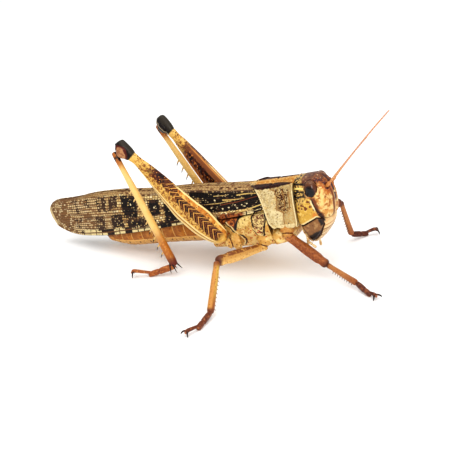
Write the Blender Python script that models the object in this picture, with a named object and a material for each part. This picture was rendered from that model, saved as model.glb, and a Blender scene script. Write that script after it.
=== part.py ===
"""Migratory locust at rest, wings folded, adult life size.

Frame: +X towards the head, +Y the animal's left, +Z up, metres, floor at Z = 0,
origin under the middle of the whole figure. Body parts are lofted in a body frame
(X along the back, origin at the rear tip of the pronotum) that is pitched nose-up;
each leg segment is lofted along its own axis and placed between its two joints.
All tables are in millimetres. Neighbouring bodies keep a clearance of GAP.
"""
import math

import bmesh
import bpy
from mathutils import Matrix, Vector

# ---------------------------------------------------------------- dimensions (mm)
MM = 0.001
GAP = 0.12                       # clearance between neighbouring bodies
BODY_PITCH = 13.0                # nose-up angle of the body axis, degrees
BODY_HEIGHT = 15.0               # floor to the rear tip of the pronotum
WING_THICK = 0.5

# head: level z, front x, widest x, back x, half width
HEAD_LEVELS = [
    (0.33, 12.8, 11.9, 10.7, 0.6), (0.2, 13.5, 11.8, 10.0, 1.4), (-0.2, 14.1, 11.7, 9.75, 2.15),
    (-0.95, 14.7, 11.6, 9.65, 2.6), (-2.0, 15.15, 11.5, 9.55, 2.95), (-3.5, 15.3, 11.4, 9.4, 3.2),
    (-5.0, 15.1, 11.3, 9.15, 3.4), (-6.3, 14.75, 11.2, 8.85, 3.5), (-7.5, 14.15, 11.0, 8.6, 3.35),
    (-8.5, 13.5, 10.8, 8.1, 3.05), (-9.5, 12.65, 10.4, 8.1, 2.65), (-10.5, 11.6, 9.9, 8.5, 2.2),
    (-11.2, 10.8, 9.6, 8.7, 1.8), (-11.75, 9.9, 9.3, 8.8, 1.2)]
HEAD_SIDES = 18
FACE_POWER = 2.35                # squareness of the front half of a head section
OCCIPUT_POWER = 3.4              # squareness of its back half
EYE_CENTRE = (12.45, 2.22, -1.7)
EYE_RADII = (1.13, 0.95, 1.53)
EYE_LEAN = 12.0                  # degrees the long axis leans forward at the top
PLATE_SPREAD = 6                 # half width of the blocks that split the head
ANTENNA_BASE = (15.05, 1.0, -1.75)
ANTENNA_TIP = {"left": (25.2, 3.0, 28.7), "right": (24.4, -4.95, 27.2)}
ANTENNA_BOW = {"left": (-0.12, 0.0, 0.14), "right": (-0.1, 0.0, 0.0)}
ANTENNA_JOINTS = 10
ANTENNA_RADII = (0.42, 0.36, 0.26)   # first joint, whip at its root, whip at its tip

# outlines that split the head envelope into its plates (x, z), clearances included
CAPSULE = [(5, 3), (18, 3), (18, -7.75), (14.2, -7.35), (13.1, -6.75), (12.35, -6.35),
           (10.7, -6.95), (9.4, -7.45), (5, -7.55)]
LIP = [(18, -7.9), (14.2, -7.5), (13.15, -6.92), (13.05, -8.05), (11.55, -10.0), (10.35, -10.85),
       (9.45, -11.15), (9.45, -13), (18, -13)]
JAW = [(13.0, -6.87), (12.35, -6.5), (10.7, -7.1), (9.4, -7.6), (8.75, -7.68), (9.0, -9.5),
       (9.35, -11.0), (10.25, -10.72), (11.42, -9.9), (12.92, -8.0)]
UNDERLIP = [(8.6, -7.7), (5, -7.7), (5, -13), (9.2, -13), (9.2, -11.2), (8.85, -9.5)]
PALP_RADIUS = 0.25
PALPS = {                        # joints of the feelers of the mouth
    "palp_max_right": [(8.5, -1.5, -9.3), (8.75, -1.95, -10.9), (9.2, -1.95, -11.5), (9.75, -1.9, -12.2)],
    "palp_max_left": [(8.5, 1.5, -9.3), (8.7, 1.85, -10.9), (8.95, 1.45, -12.1), (8.9, 1.25, -13.2)],
    "palp_lab_right": [(8.45, -0.8, -10.2), (8.0, -1.0, -11.2), (7.75, -1.0, -12.1)],
    "palp_lab_left": [(8.45, 0.8, -10.2), (8.0, 1.0, -11.2), (7.75, 1.0, -12.1)],
}

# pronotum: half section from the top middle to the bottom middle
PRONOTUM_FRONT = [(0, 0.12), (1.3, 0.05), (2.35, -0.2), (3.0, -1.4), (3.3, -3.2), (3.45, -5.0),
                  (3.45, -6.6), (3.2, -7.45), (2.4, -7.6), (0, -7.6)]
PRONOTUM_REAR = [(0, 0.42), (1.6, 0.36), (2.75, 0.05), (3.35, -1.4), (3.8, -3.3), (3.95, -5.0),
                 (3.9, -6.2), (3.6, -7.1), (2.6, -7.3), (0, -7.3)]
PRONOTUM_FRONT_X = [9.4, 9.45, 9.35, 9.1, 8.8, 8.6, 8.45, 8.3, 8.3, 8.3]
PRONOTUM_REAR_X = [0.0, 1.15, 2.25, 2.9, 3.3, 3.4, 3.45, 3.9, 3.9, 3.9]
PRONOTUM_WAIST = 0.12            # pinch of the prozona at its cross furrows

# thorax behind the pronotum: half sections front and back
THORAX_FRONT = [(0, -0.4), (1.3, -0.45), (1.95, -0.95), (2.75, -2.4), (3.05, -3.9), (3.75, -4.3),
                (3.95, -6.0), (3.85, -7.9), (3.2, -10.1), (0, -10.8)]
THORAX_REAR = [(0, 0.3), (0.9, 0.1), (1.4, -0.4), (2.6, -2.4), (3.1, -3.9), (3.45, -4.35),
               (3.55, -6.0), (3.5, -7.7), (2.9, -9.4), (0, -9.8)]
THORAX_BACK_X = -9.2
THORAX_SWELL = 0.3              # outward bulge of the pleura at mid length
# breast plate between the fore legs: x, half width, top z, bottom z
PROSTERNUM = [(3.75, 3.05, -8.0, -10.8), (5.27, 2.85, -8.0, -10.5), (6.8, 2.5, -7.97, -10.1),
              (8.1, 2.0, -7.8, -9.3)]

# abdomen: x, half width, top z, bottom z
ABDOMEN = [(-9.35, 3.45, -1.0, -8.9), (-12.0, 3.45, -1.1, -8.6), (-16.0, 3.35, -1.3, -8.25),
           (-20.0, 3.15, -1.5, -8.0), (-24.0, 2.95, -1.8, -7.85), (-27.5, 2.7, -2.3, -7.65),
           (-30.0, 2.3, -2.8, -7.1), (-31.6, 1.85, -3.3, -6.6)]
TERGITES = 9
TERGITE_STEP = 0.10
ABDOMEN_TIP = [(-31.72, 1.7, -3.35, -6.5), (-32.6, 1.5, -3.6, -6.2), (-33.5, 1.0, -3.9, -5.7),
               (-33.6, 0.45, -4.2, -5.1)]
CERCUS = [(-32.3, 0.9, -4.0), (-33.3, 1.3, -3.75), (-34.1, 1.35, -3.7)]
CERCUS_RADII = [0.34, 0.3, 0.25]

# tegmen: costal edge, shoulder and inner (dorsal) edge against x
COSTAL_Y = [(3.2, 3.55), (0, 3.9), (-5, 4.1), (-14, 3.75), (-25, 3.45), (-31, 2.95), (-35, 2.5),
            (-38, 2.1), (-42, 1.55), (-46, 1.15)]
COSTAL_Z = [(3.2, -3.55), (0, -3.8), (-14, -3.95), (-25, -4.25), (-31, -4.25), (-35, -4.05),
            (-38, -3.65), (-41, -2.8), (-43.5, -1.5), (-45.0, -0.3), (-46, 0.6)]
SHOULDER_Y = [(2.4, 2.65), (0, 2.45), (-3, 2.2), (-12, 1.9), (-20, 1.65), (-28, 1.3), (-35, 1.15),
              (-40, 1.05), (-46, 1.0)]
SHOULDER_Z = [(2.4, -0.35), (0, -0.2), (-3, 0.05), (-7, 0.6), (-12, 1.3), (-20, 1.85), (-28, 2.75),
              (-35, 3.0), (-40, 3.05), (-43, 3.1), (-46, 2.1)]
DORSAL_Y = [(2, 0.12), (-20, 0.12), (-26, 0.3), (-33, 0.55), (-46, 0.6)]
DORSAL_Z = [(2, 0.35), (0, 0.42), (-3, 0.85), (-10, 1.6), (-20, 2.25), (-28, 3.25), (-33, 3.55),
            (-38, 3.4), (-40, 3.55), (-42, 3.8), (-43.5, 3.7), (-44.6, 3.3), (-46, 2.4)]
WING_FRONT_X = [(0.0, 3.15), (0.62, 2.55), (0.72, 2.1), (0.86, 0.95), (1.0, -0.2)]
WING_TIP_X = [(0.0, -44.4), (0.3, -45.1), (0.6, -45.2), (1.0, -44.4)]
WING_ROWS = 14
WING_COLUMNS = [0.0, 0.18, 0.36, 0.54, 0.70, 0.80, 0.90, 1.0]
WING_SPLIT = 0.70                # share of the wing width that hangs down the side
WING_BELLY = 0.2                 # outward bulge of the side field at the root
WING_CROWN = 0.12                # rise of the narrow field on top
HIND_WING_T = (0.275, 0.86)      # folded hind wing, as shares of the tegmen
HIND_WING_V = (0.34, 0.60)
HIND_WING_GRID = (9, 3)          # cells along and across it

# legs: joints on the animal's right; the left joints are listed where the pose differs
POSE = {
    "fore_right": dict(hip=(7.56, -2.9, 7.55), knee=(14.1, -2.2, 2.35), ankle=(20.55, -5.15, 1.15),
                       pad=(23.3, -6.85, 0.42), claw_base=(24.4, -7.45, 0.75), claw_drop=0.55),
    "fore_left": dict(hip=(7.56, 2.9, 7.55), knee=(12.7, 8.7, 9.2), ankle=(12.7, 12.0, 1.3),
                      pad=(14.5, 14.6, 0.42), claw_base=(15.75, 15.3, 1.05), claw_drop=0.85),
    "mid_right": dict(hip=(3.0, -3.8, 5.3), knee=(-0.9, -12.9, 6.6), ankle=(0.85, -20.1, 0.95),
                      pad=(0.8, -24.1, 0.45), claw_base=(0.0, -26.1, 0.85), claw_drop=0.7),
    "mid_left": dict(hip=(3.0, 3.8, 5.3), knee=(-0.6, 12.7, 6.7), ankle=(0.2, 19.3, 0.95),
                     pad=(-0.3, 23.2, 0.45), claw_base=(-1.2, 25.1, 0.85), claw_drop=0.7),
    "hind_right": dict(hip=(-2.85, -4.75, 5.85), knee=(-20.7, -7.5, 23.8), ankle=(-12.9, -7.7, 1.75),
                       pad=(-17.1, -9.4, 0.45), claw_base=(-19.8, -10.5, 1.25), claw_drop=1.1),
    "hind_left": dict(hip=(-2.75, 4.65, 5.35), knee=(-21.0, 7.0, 23.25), ankle=(-10.8, 9.2, 1.7),
                      pad=(-14.9, 11.0, 0.45), claw_base=(-17.5, 12.3, 1.25), claw_drop=1.1),
}
# stations along a segment: share of length, height above and below the axis, half width
FEMUR = {
    "fore": [(0.115, 0.55, 0.55, 0.5), (0.28, 0.75, 0.8, 0.65), (0.5, 0.9, 0.95, 0.8),
             (0.75, 0.9, 0.95, 0.8), (0.93, 0.85, 0.85, 0.72), (1.03, 0.55, 0.55, 0.5)],
    "mid": [(0.10, 0.55, 0.55, 0.5), (0.22, 0.8, 0.8, 0.65), (0.45, 1.0, 1.05, 0.8),
            (0.7, 1.05, 1.1, 0.82), (0.9, 0.95, 1.0, 0.75), (1.03, 0.6, 0.6, 0.5)],
    "hind": [(0.03, 0.5, 0.7, 0.6), (0.05, 0.85, 1.3, 0.8), (0.08, 1.5, 1.95, 1.0),
             (0.15, 1.65, 2.65, 1.2), (0.25, 1.95, 3.05, 1.25), (0.37, 1.72, 3.07, 1.25),
             (0.485, 1.55, 2.58, 1.22), (0.62, 1.45, 1.85, 1.1), (0.735, 1.22, 1.12, 0.95),
             (0.85, 1.0, 0.5, 0.8), (0.89, 1.15, 0.82, 0.85), (0.93, 1.4, 1.3, 1.0),
             (0.97, 1.5, 1.45, 1.05), (1.003, 1.53, 0.85, 0.9), (1.022, 1.45, -0.2, 0.6)],
}
TIBIA = {
    "fore": [(0.0, 0.4, 0.4, 0.36), (0.3, 0.45, 0.45, 0.41), (0.7, 0.52, 0.52, 0.47),
             (0.94, 0.58, 0.54, 0.5), (1.0, 0.4, 0.4, 0.4)],
    "mid": [(0.0, 0.54, 0.54, 0.5), (0.25, 0.62, 0.6, 0.54), (0.6, 0.62, 0.6, 0.54),
            (0.93, 0.64, 0.6, 0.56), (0.985, 0.45, 0.4, 0.42)],
    "hind": [(0.0, 0.45, 0.5, 0.42), (0.05, 0.5, 0.55, 0.5), (0.12, 0.5, 0.52, 0.5),
             (0.35, 0.62, 0.62, 0.57), (0.7, 0.7, 0.67, 0.63), (0.93, 0.82, 0.74, 0.72),
             (0.985, 0.6, 0.5, 0.55)],
}
COXA_ROOT = {"fore": (-0.3, -1.0, 1.6), "mid": (0.2, -1.1, 1.7), "hind": (1.5, -1.3, 0.3)}
COXA_RADII = {"fore": (1.15, 0.8), "mid": (1.15, 0.85), "hind": (1.5, 0.85)}   # root, hip ball
# foot pads: share of the length, width, height, 1 where the sole is flat on the floor
TARSUS = [(0.0, 0.75, 0.7, 0), (0.3, 0.95, 1.0, 0), (0.6, 0.95, 1.0, 1), (0.68, 0.72, 0.75, 0),
          (0.76, 0.95, 0.9, 1), (1.02, 1.0, 0.85, 1), (1.12, 0.5, 0.5, 0)]
CLAW_JOINT_RADII = [0.27, 0.27, 0.31, 0.26]
SHANK_HEAD = (0.1, 1.4)          # hind shank head: beyond the knee centre, below the thigh axis
HIND_PLANE = (0.21, 0.97, 0.08)  # normal of the left thigh blade; the right one is its mirror
TARSUS_RADII = {"fore": (0.42, 0.5), "mid": (0.45, 0.5), "hind": (0.45, 0.55)}
SPINE_COUNT = 9                  # spines in each row of a hind shank
SPINE_LENGTH = 1.15
SPUR_LENGTH = 1.7
CLAW_RADII = [0.16, 0.16, 0.12, 0.05]
CLAW_REACH = {"fore": 1.0, "mid": 1.0, "hind": 0.45}

COLOURS = {
    "ochre": (0.50, 0.30, 0.10), "cream": (0.68, 0.56, 0.33), "brown": (0.26, 0.12, 0.04),
    "dark": (0.035, 0.022, 0.018), "tan": (0.36, 0.27, 0.15), "orange": (0.46, 0.20, 0.06),
    "yellow": (0.60, 0.44, 0.14), "smoke": (0.30, 0.24, 0.17),
}

# ---------------------------------------------------------------- scene and helpers
for old in list(bpy.data.objects):
    bpy.data.objects.remove(old, do_unlink=True)

figure = bpy.data.collections.new("grasshopper")
bpy.context.scene.collection.children.link(figure)
cutters = bpy.data.collections.new("cutters")
bpy.context.scene.collection.children.link(cutters)
cutters.hide_render = True

PITCH_MATRIX = Matrix.Translation((0, 0, BODY_HEIGHT * MM)) @ Matrix.Rotation(
    -math.radians(BODY_PITCH), 4, "Y")


def material(name, colour, roughness):
    made = bpy.data.materials.new(name)
    made.use_nodes = True
    shader = made.node_tree.nodes["Principled BSDF"]
    shader.inputs["Base Color"].default_value = (*COLOURS[colour], 1)
    shader.inputs["Roughness"].default_value = roughness
    shader.inputs["Metallic"].default_value = 0.0
    return made


def add_object(name, verts, faces, colour=None, roughness=0.45, cutter=False, smooth=True):
    """One mesh object from points in millimetres; cutters go to their own collection."""
    mesh = bpy.data.meshes.new(name)
    mesh.from_pydata([(x * MM, y * MM, z * MM) for x, y, z in verts], [], faces)
    work = bmesh.new()
    work.from_mesh(mesh)
    bmesh.ops.remove_doubles(work, verts=work.verts, dist=1e-6)
    bmesh.ops.recalc_face_normals(work, faces=work.faces)
    work.to_mesh(mesh)
    work.free()
    made = bpy.data.objects.new(name, mesh)
    if cutter:
        cutters.objects.link(made)
        made.hide_render = True
        made.display_type = "WIRE"
    else:
        figure.objects.link(made)
        mesh.materials.append(material(name + "_finish", colour, roughness))
    for face in mesh.polygons:
        face.use_smooth = smooth
    return made


def loft(rings):
    """Closed skin through rings of equal count; both ends closed by a fan."""
    verts = [p for ring in rings for p in ring]
    count = len(rings[0])
    faces = []
    for i in range(len(rings) - 1):
        for k in range(count):
            j = (k + 1) % count
            faces.append((i * count + k, i * count + j, (i + 1) * count + j, (i + 1) * count + k))
    for start, ring in ((0, rings[0]), ((len(rings) - 1) * count, rings[-1])):
        verts.append(tuple(sum(p[a] for p in ring) / count for a in range(3)))
        hub = len(verts) - 1
        for k in range(count):
            faces.append((start + k, start + (k + 1) % count, hub))
    return verts, faces


def table(rows, x):
    """Linear look-up in rows of (key, value); keys may rise or fall."""
    rows = sorted(rows)
    if x <= rows[0][0]:
        return rows[0][1]
    for (a, va), (b, vb) in zip(rows, rows[1:]):
        if x <= b:
            return va + (vb - va) * (x - a) / (b - a)
    return rows[-1][1]


def power(c, n):
    return math.copysign(abs(c) ** (2.0 / n), c)


def combine(target, other, operation):
    cut = target.modifiers.new(operation.lower(), "BOOLEAN")
    cut.object = other
    cut.operation = operation
    cut.solver = "EXACT"
    return cut


def place_body(obj):
    obj.matrix_world = PITCH_MATRIX
    return obj


def prism(name, outline, y0, y1):
    """Block with the given x-z outline between two y planes, for splitting the head."""
    n = len(outline)
    verts = [(x, y0, z) for x, z in outline] + [(x, y1, z) for x, z in outline]
    faces = [tuple(range(n)), tuple(range(2 * n - 1, n - 1, -1))]
    faces += [(k, (k + 1) % n, n + (k + 1) % n, n + k) for k in range(n)]
    return place_body(add_object(name, verts, faces, cutter=True))


def axis_matrix(start, end, dorsal):
    """Frame with X from start to end and Z towards dorsal, at start (mm in, metres out)."""
    x = (Vector(end) - Vector(start)).normalized()
    y = Vector(dorsal).cross(x).normalized()
    z = x.cross(y)
    turn = Matrix((x, y, z)).transposed().to_4x4()
    return Matrix.Translation(Vector(start) * MM) @ turn


# ---------------------------------------------------------------- head
def head_rings(grow=0.0):
    rings = []
    for z, front, wide, back, half in HEAD_LEVELS:
        ring = []
        for k in range(HEAD_SIDES):
            angle = 2 * math.pi * k / HEAD_SIDES
            c, s = math.cos(angle), math.sin(angle)
            n = FACE_POWER if c > 0 else OCCIPUT_POWER
            reach = front - wide if c > 0 else wide - back
            ring.append((wide + (reach + grow) * power(c, n), (half + grow) * power(s, n), z))
        rings.append(ring)
    return rings


def head_piece(name, outline, y0, y1, colour, roughness):
    made = place_body(add_object(name, *loft(head_rings()), colour, roughness))
    combine(made, prism("split_" + name, outline, y0, y1), "INTERSECT")
    return made


def eye_shape(name, side, grow, cutter=False):
    bpy.ops.mesh.primitive_uv_sphere_add(segments=12, ring_count=8, radius=1)
    made = bpy.context.object
    made.name = name
    for group in list(made.users_collection):
        group.objects.unlink(made)
    (cutters if cutter else figure).objects.link(made)
    rx, ry, rz = (r + grow for r in EYE_RADII)
    x, y, z = EYE_CENTRE
    place = (Matrix.Translation((x * MM, side * y * MM, z * MM))
             @ Matrix.Rotation(math.radians(EYE_LEAN), 4, "Y")
             @ Matrix.Diagonal((rx * MM, ry * MM, rz * MM, 1)))
    made.data.transform(place)
    made.matrix_world = PITCH_MATRIX
    for face in made.data.polygons:
        face.use_smooth = True
    if cutter:
        made.hide_render = True
        made.display_type = "WIRE"
    else:
        made.data.materials.append(material(name + "_finish", "dark", 0.12))
    return made


head = head_piece("head", CAPSULE, -PLATE_SPREAD, PLATE_SPREAD, "yellow", 0.4)
head_piece("clypeolabrum", LIP, -PLATE_SPREAD, PLATE_SPREAD, "cream", 0.4)
head_piece("mandible_right", JAW, -PLATE_SPREAD, -GAP / 2, "brown", 0.35)
head_piece("mandible_left", JAW, GAP / 2, PLATE_SPREAD, "brown", 0.35)
for side, word in ((-1, "right"), (1, "left")):
    eye_shape("eye_" + word, side, 0.0)
    combine(head, eye_shape("socket_" + word, side, GAP, cutter=True), "DIFFERENCE")


def tube(points, radii, sides):
    """Closed tapering tube through a chain of points, rings square to the chain."""
    pts = [Vector(p) for p in points]
    rings = []
    side = Vector((0.13, 1, 0.07))
    for i, p in enumerate(pts):
        along = (pts[min(i + 1, len(pts) - 1)] - pts[max(i - 1, 0)]).normalized()
        u = side.cross(along).normalized()
        v = along.cross(u)
        r = radii[i]
        ring = [tuple(p + u * (r * math.cos(2 * math.pi * k / sides))
                      + v * (r * math.sin(2 * math.pi * k / sides))) for k in range(sides)]
        rings.append(ring)
    return loft(rings)


# labium with the jointed feelers of the mouth, one body
labium = head_piece("labium", UNDERLIP, -PLATE_SPREAD, PLATE_SPREAD, "yellow", 0.45)
for palp, joints in PALPS.items():
    rod = tube(joints, [PALP_RADIUS] * len(joints), 6)
    combine(labium, place_body(add_object(palp, *rod, cutter=True)), "UNION")

# feelers: a narrow V, both forward and up
for side, word in ((-1, "right"), (1, "left")):
    x, y, z = ANTENNA_BASE
    base = PITCH_MATRIX @ Vector((x * MM, side * y * MM, z * MM)) / MM
    tip, bow = Vector(ANTENNA_TIP[word]), Vector(ANTENNA_BOW[word])
    first, thick, thin = ANTENNA_RADII
    chain, radii = [], []
    for i in range(ANTENNA_JOINTS + 1):
        t = i / ANTENNA_JOINTS
        chain.append(base.lerp(tip, 0.03 + 0.97 * t) + bow * (4 * t * (1 - t)))
        radii.append(first if i == 0 else thick + (thin - thick) * t)
    add_object("antenna_" + word, *tube(chain, radii, 6), "orange", 0.5)
    root = tube([base - (tip - base) * 0.05, base + (tip - base) * 0.10], [first + GAP, first + GAP], 6)
    combine(head, add_object("antenna_socket_" + word, *root, cutter=True), "DIFFERENCE")


# ---------------------------------------------------------------- pronotum and thorax
def mirrored(half):
    """Whole ring from a half section running top middle to bottom middle."""
    return half + [(x, -y, z) for x, y, z in reversed(half[1:-1])]


def pronotum_rings(grow=0.0):
    rings = []
    for i in range(8):
        t = i / 7
        pinch = PRONOTUM_WAIST * math.exp(-((t - 0.45) / 0.16) ** 2)
        half = []
        for k, ((yf, zf), (yr, zr)) in enumerate(zip(PRONOTUM_FRONT, PRONOTUM_REAR)):
            x = PRONOTUM_FRONT_X[k] * (1 - t) + PRONOTUM_REAR_X[k] * t
            y, z = yf * (1 - t) + yr * t, zf * (1 - t) + zr * t
            if 0 < k < 8:
                y -= pinch
            if k >= 7:
                z -= 0.35 * math.sin(math.pi * min(1, t * 1.15))
            half.append((x + grow * (0.5 - t) * 2, y + (grow if k else 0), z + (grow if k < 5 else -grow)))
        rings.append(mirrored(half))
    return rings


place_body(add_object("pronotum", *loft(pronotum_rings()), "cream", 0.5))
pronotum_cutter = place_body(add_object("pronotum_clearance", *loft(pronotum_rings(GAP)), cutter=True))

thorax_rings = []
for i in range(6):
    t = i / 5
    half = []
    for k, ((yf, zf), (yr, zr)) in enumerate(zip(THORAX_FRONT, THORAX_REAR)):
        start = min(PRONOTUM_REAR_X[k] - GAP, 3.3) if k < 9 else 3.6
        x = start * (1 - t) + THORAX_BACK_X * t
        y, z = yf * (1 - t) + yr * t, zf * (1 - t) + zr * t
        if 5 <= k <= 8:
            y += THORAX_SWELL * math.sin(math.pi * t)
        half.append((x, y, z))
    thorax_rings.append(mirrored(half))
place_body(add_object("thorax", *loft(thorax_rings), "ochre", 0.5))
thorax_grown = [[(x + (GAP if i == 0 else -GAP if i == 5 else 0), y + math.copysign(GAP, y) * (abs(y) > 0.01),
                  z + (GAP if z > -5 else -GAP)) for x, y, z in ring]
                for i, ring in enumerate(thorax_rings)]
thorax_cutter = place_body(add_object("thorax_clearance", *loft(thorax_grown), cutter=True))

prosternum_rings = [[(x, half * power(math.sin(a), 3.0),
                      (top + low) / 2 + (top - low) / 2 * power(math.cos(a), 3.0))
                     for a in (2 * math.pi * k / 12 for k in range(12))]
                    for x, half, top, low in PROSTERNUM]
place_body(add_object("prosternum", *loft(prosternum_rings), "yellow", 0.5))
prosternum_cutter = place_body(add_object("prosternum_clearance", *loft(
    [[(x, y * (1 + GAP / 3), z + (GAP if z > -8.9 else -GAP)) for x, y, z in ring]
     for ring in prosternum_rings]), cutter=True))


# ---------------------------------------------------------------- abdomen
def abdomen_ring(x, half, top, low, shrink=0.0, sides=12):
    middle = top + (low - top) * 0.56
    ring = []
    for k in range(sides):
        a = 2 * math.pi * k / sides
        c, s = math.cos(a), math.sin(a)
        n = 1.75 if c > 0 else 2.3
        reach = (top - middle) if c > 0 else (middle - low)
        ring.append((x, (half - shrink) * power(s, n), middle + (reach - shrink) * power(c, n)))
    return ring


def abdomen_row(x):
    return tuple(table([(row[0], row[j]) for row in ABDOMEN], x) for j in (1, 2, 3))


rings = []
start, end = ABDOMEN[0][0], ABDOMEN[-1][0]
for i in range(TERGITES):
    a, b = (start + (end - start) * (i + d) / TERGITES for d in (0.0, 0.94))
    rings.append(abdomen_ring(a, *abdomen_row(a), shrink=TERGITE_STEP if i else 0))
    rings.append(abdomen_ring(b, *abdomen_row(b)))
rings.append(abdomen_ring(end, *abdomen_row(end), shrink=TERGITE_STEP))
place_body(add_object("abdomen", *loft(rings), "orange", 0.5))

# last plates of the abdomen with the two short cerci, one body
tail = place_body(add_object("abdomen_tip", *loft([abdomen_ring(*row) for row in ABDOMEN_TIP]),
                             "ochre", 0.5))
for side, word in ((-1, "right"), (1, "left")):
    horn = tube([(x, side * y, z) for x, y, z in CERCUS], CERCUS_RADII, 6)
    combine(tail, place_body(add_object("cercus_" + word, *horn, cutter=True)), "UNION")


# ---------------------------------------------------------------- wings
def wing_point(side, t, v):
    """Outer face of a folded tegmen; t from root to tip, v from costal to dorsal edge."""
    x = table(WING_FRONT_X, v) * (1 - t) + table(WING_TIP_X, v) * t
    if v <= WING_SPLIT:
        s = v / WING_SPLIT
        (y0, z0), (y1, z1) = ((table(COSTAL_Y, x), table(COSTAL_Z, x)),
                              (table(SHOULDER_Y, x), table(SHOULDER_Z, x)))
        belly = WING_BELLY * math.sin(math.pi * s) * (1 - t) ** 0.5
        return (x, side * (y0 + (y1 - y0) * s + belly), z0 + (z1 - z0) * s)
    s = (v - WING_SPLIT) / (1 - WING_SPLIT)
    (y0, z0), (y1, z1) = ((table(SHOULDER_Y, x), table(SHOULDER_Z, x)),
                          (table(DORSAL_Y, x), table(DORSAL_Z, x)))
    return (x, side * (y0 + (y1 - y0) * s), z0 + (z1 - z0) * s + WING_CROWN * math.sin(math.pi * s))


def sheet(point, rows, columns, inward):
    """Grid of points on a surface and the same grid moved inward, closed round the rim."""
    verts = []
    for depth in (0.0, inward):
        for t in rows:
            for v in columns:
                p = Vector(point(t, v))
                if depth:
                    du = Vector(point(t, min(v + 0.01, 1))) - Vector(point(t, max(v - 0.01, 0)))
                    dt = Vector(point(min(t + 0.01, 1), v)) - Vector(point(max(t - 0.01, 0), v))
                    normal = dt.cross(du).normalized()
                    if normal.y * p.y > 0 or (abs(normal.y) < 0.5 and normal.z > 0):
                        normal.negate()
                    p += normal * depth
                verts.append(tuple(p))
    nr, nc = len(rows), len(columns)
    n = nr * nc
    faces = []
    for i in range(nr - 1):
        for j in range(nc - 1):
            a, b, c, d = i * nc + j, i * nc + j + 1, (i + 1) * nc + j + 1, (i + 1) * nc + j
            faces += [(a, b, c, d), (n + d, n + c, n + b, n + a)]
    rim = ([j for j in range(nc)] + [i * nc + nc - 1 for i in range(1, nr)]
           + [(nr - 1) * nc + j for j in range(nc - 2, -1, -1)] + [i * nc for i in range(nr - 2, 0, -1)])
    for a, b in zip(rim, rim[1:] + rim[:1]):
        faces.append((b, a, n + a, n + b))
    return verts, faces


wing_rows = [(i / WING_ROWS) for i in range(WING_ROWS + 1)]
for side, word in ((-1, "right"), (1, "left")):
    place_body(add_object("tegmen_" + word, *sheet(
        lambda t, v: wing_point(side, t, v), wing_rows, WING_COLUMNS, WING_THICK), "tan", 0.55))

# folded hind wings, lying against the inner face of each tegmen behind the thorax
def hind_wing_point(side, t, v):
    p = Vector(wing_point(side, t, v))
    near = Vector(wing_point(side, t, v + 0.02)) - p
    along = Vector(wing_point(side, t + 0.01, v)) - p
    normal = near.cross(along).normalized()
    if normal.y * p.y > 0:
        normal.negate()
    return tuple(p + normal * (WING_THICK + GAP))


for side, word in ((-1, "right"), (1, "left")):
    rows, columns = ([low + (high - low) * i / cells for i in range(cells + 1)]
                     for (low, high), cells in zip((HIND_WING_T, HIND_WING_V), HIND_WING_GRID))
    place_body(add_object("hindwing_" + word, *sheet(
        lambda t, v: hind_wing_point(side, t, v), rows, columns, WING_THICK), "smoke", 0.4))


# ---------------------------------------------------------------- legs
def segment(name, start, end, dorsal, stations, colour, roughness, sides=8, squareness=2.3,
            grow=0.0, cutter=False, shift=0.0, flat=None):
    length = (Vector(end) - Vector(start)).length
    rings = []
    for i, (share, up, down, half) in enumerate(stations):
        along = share * length + (grow if i == len(stations) - 1 else -grow if i == 0 else 0)
        ring = []
        for k in range(sides):
            a = 2 * math.pi * (k + 0.5) / sides
            c, s = math.cos(a), math.sin(a)
            ring.append((along, (half + grow) * power(s, squareness),
                         ((up if c > 0 else down) + grow) * power(c, squareness) + shift))
        rings.append(ring)
    made = add_object(name, *loft(rings), colour, roughness, cutter=cutter)
    made.matrix_world = axis_matrix(start, end, dorsal)
    return made


def tarsus(name, kind, ankle, pad, claw_base, drop):
    """Foot: two padded joints flat on the floor, an arched claw joint and two claws."""
    ankle, pad, claw_base = Vector(ankle), Vector(pad), Vector(claw_base)
    run = (pad - ankle).normalized()
    first = ankle + run * 0.1
    half, high = TARSUS_RADII[kind]
    left = Vector((-run.y, run.x, 0)).normalized()
    rings = []
    reach = (pad - first).length
    for share, wide, tall, sole in TARSUS:
        centre = first + run * (reach * share)
        ring = []
        for k in range(8):
            a = 2 * math.pi * (k + 0.5) / 8
            p = centre + left * (half * wide * math.sin(a)) + Vector((0, 0, high * tall * math.cos(a)))
            if sole and math.cos(a) < -0.5:
                p.z = 0.0
            ring.append((p.x, p.y, max(p.z, 0.06 if not sole else 0.0)))
        rings.append(ring)
    colour = {"fore": "brown", "mid": "brown", "hind": "orange"}[kind]
    foot = add_object(name, *loft(rings), colour, 0.5)
    out = (claw_base - pad)
    arch = [pad - run * 0.35 + Vector((0, 0, 0.12)), pad.lerp(claw_base, 0.4) + Vector((0, 0, 0.22)),
            claw_base + Vector((0, 0, 0.05))]
    tip = claw_base + Vector((out.x, out.y, 0)).normalized() * 0.42 - Vector((0, 0, drop * 0.12))
    rod = add_object(name + "_claw_joint", *tube(arch + [tip], CLAW_JOINT_RADII, 6), cutter=True)
    combine(foot, rod, "UNION")
    ahead = Vector((out.x, out.y, 0)).normalized()
    for side in (-1, 1):
        spread = Vector((-ahead.y, ahead.x, 0)) * side
        far = CLAW_REACH[kind]
        chain = [claw_base + spread * 0.12, claw_base + ahead * 0.55 * far + spread * 0.5,
                 claw_base + ahead * 0.8 * far + spread * 0.8 - Vector((0, 0, drop * 0.45)),
                 claw_base + ahead * 0.82 * far + spread * 0.9 - Vector((0, 0, drop * 0.82))]
        claw = add_object("%s_claw_%d" % (name, side + 1), *tube(
            chain, CLAW_RADII, 5), cutter=True)
        combine(foot, claw, "UNION")
    return foot


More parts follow.
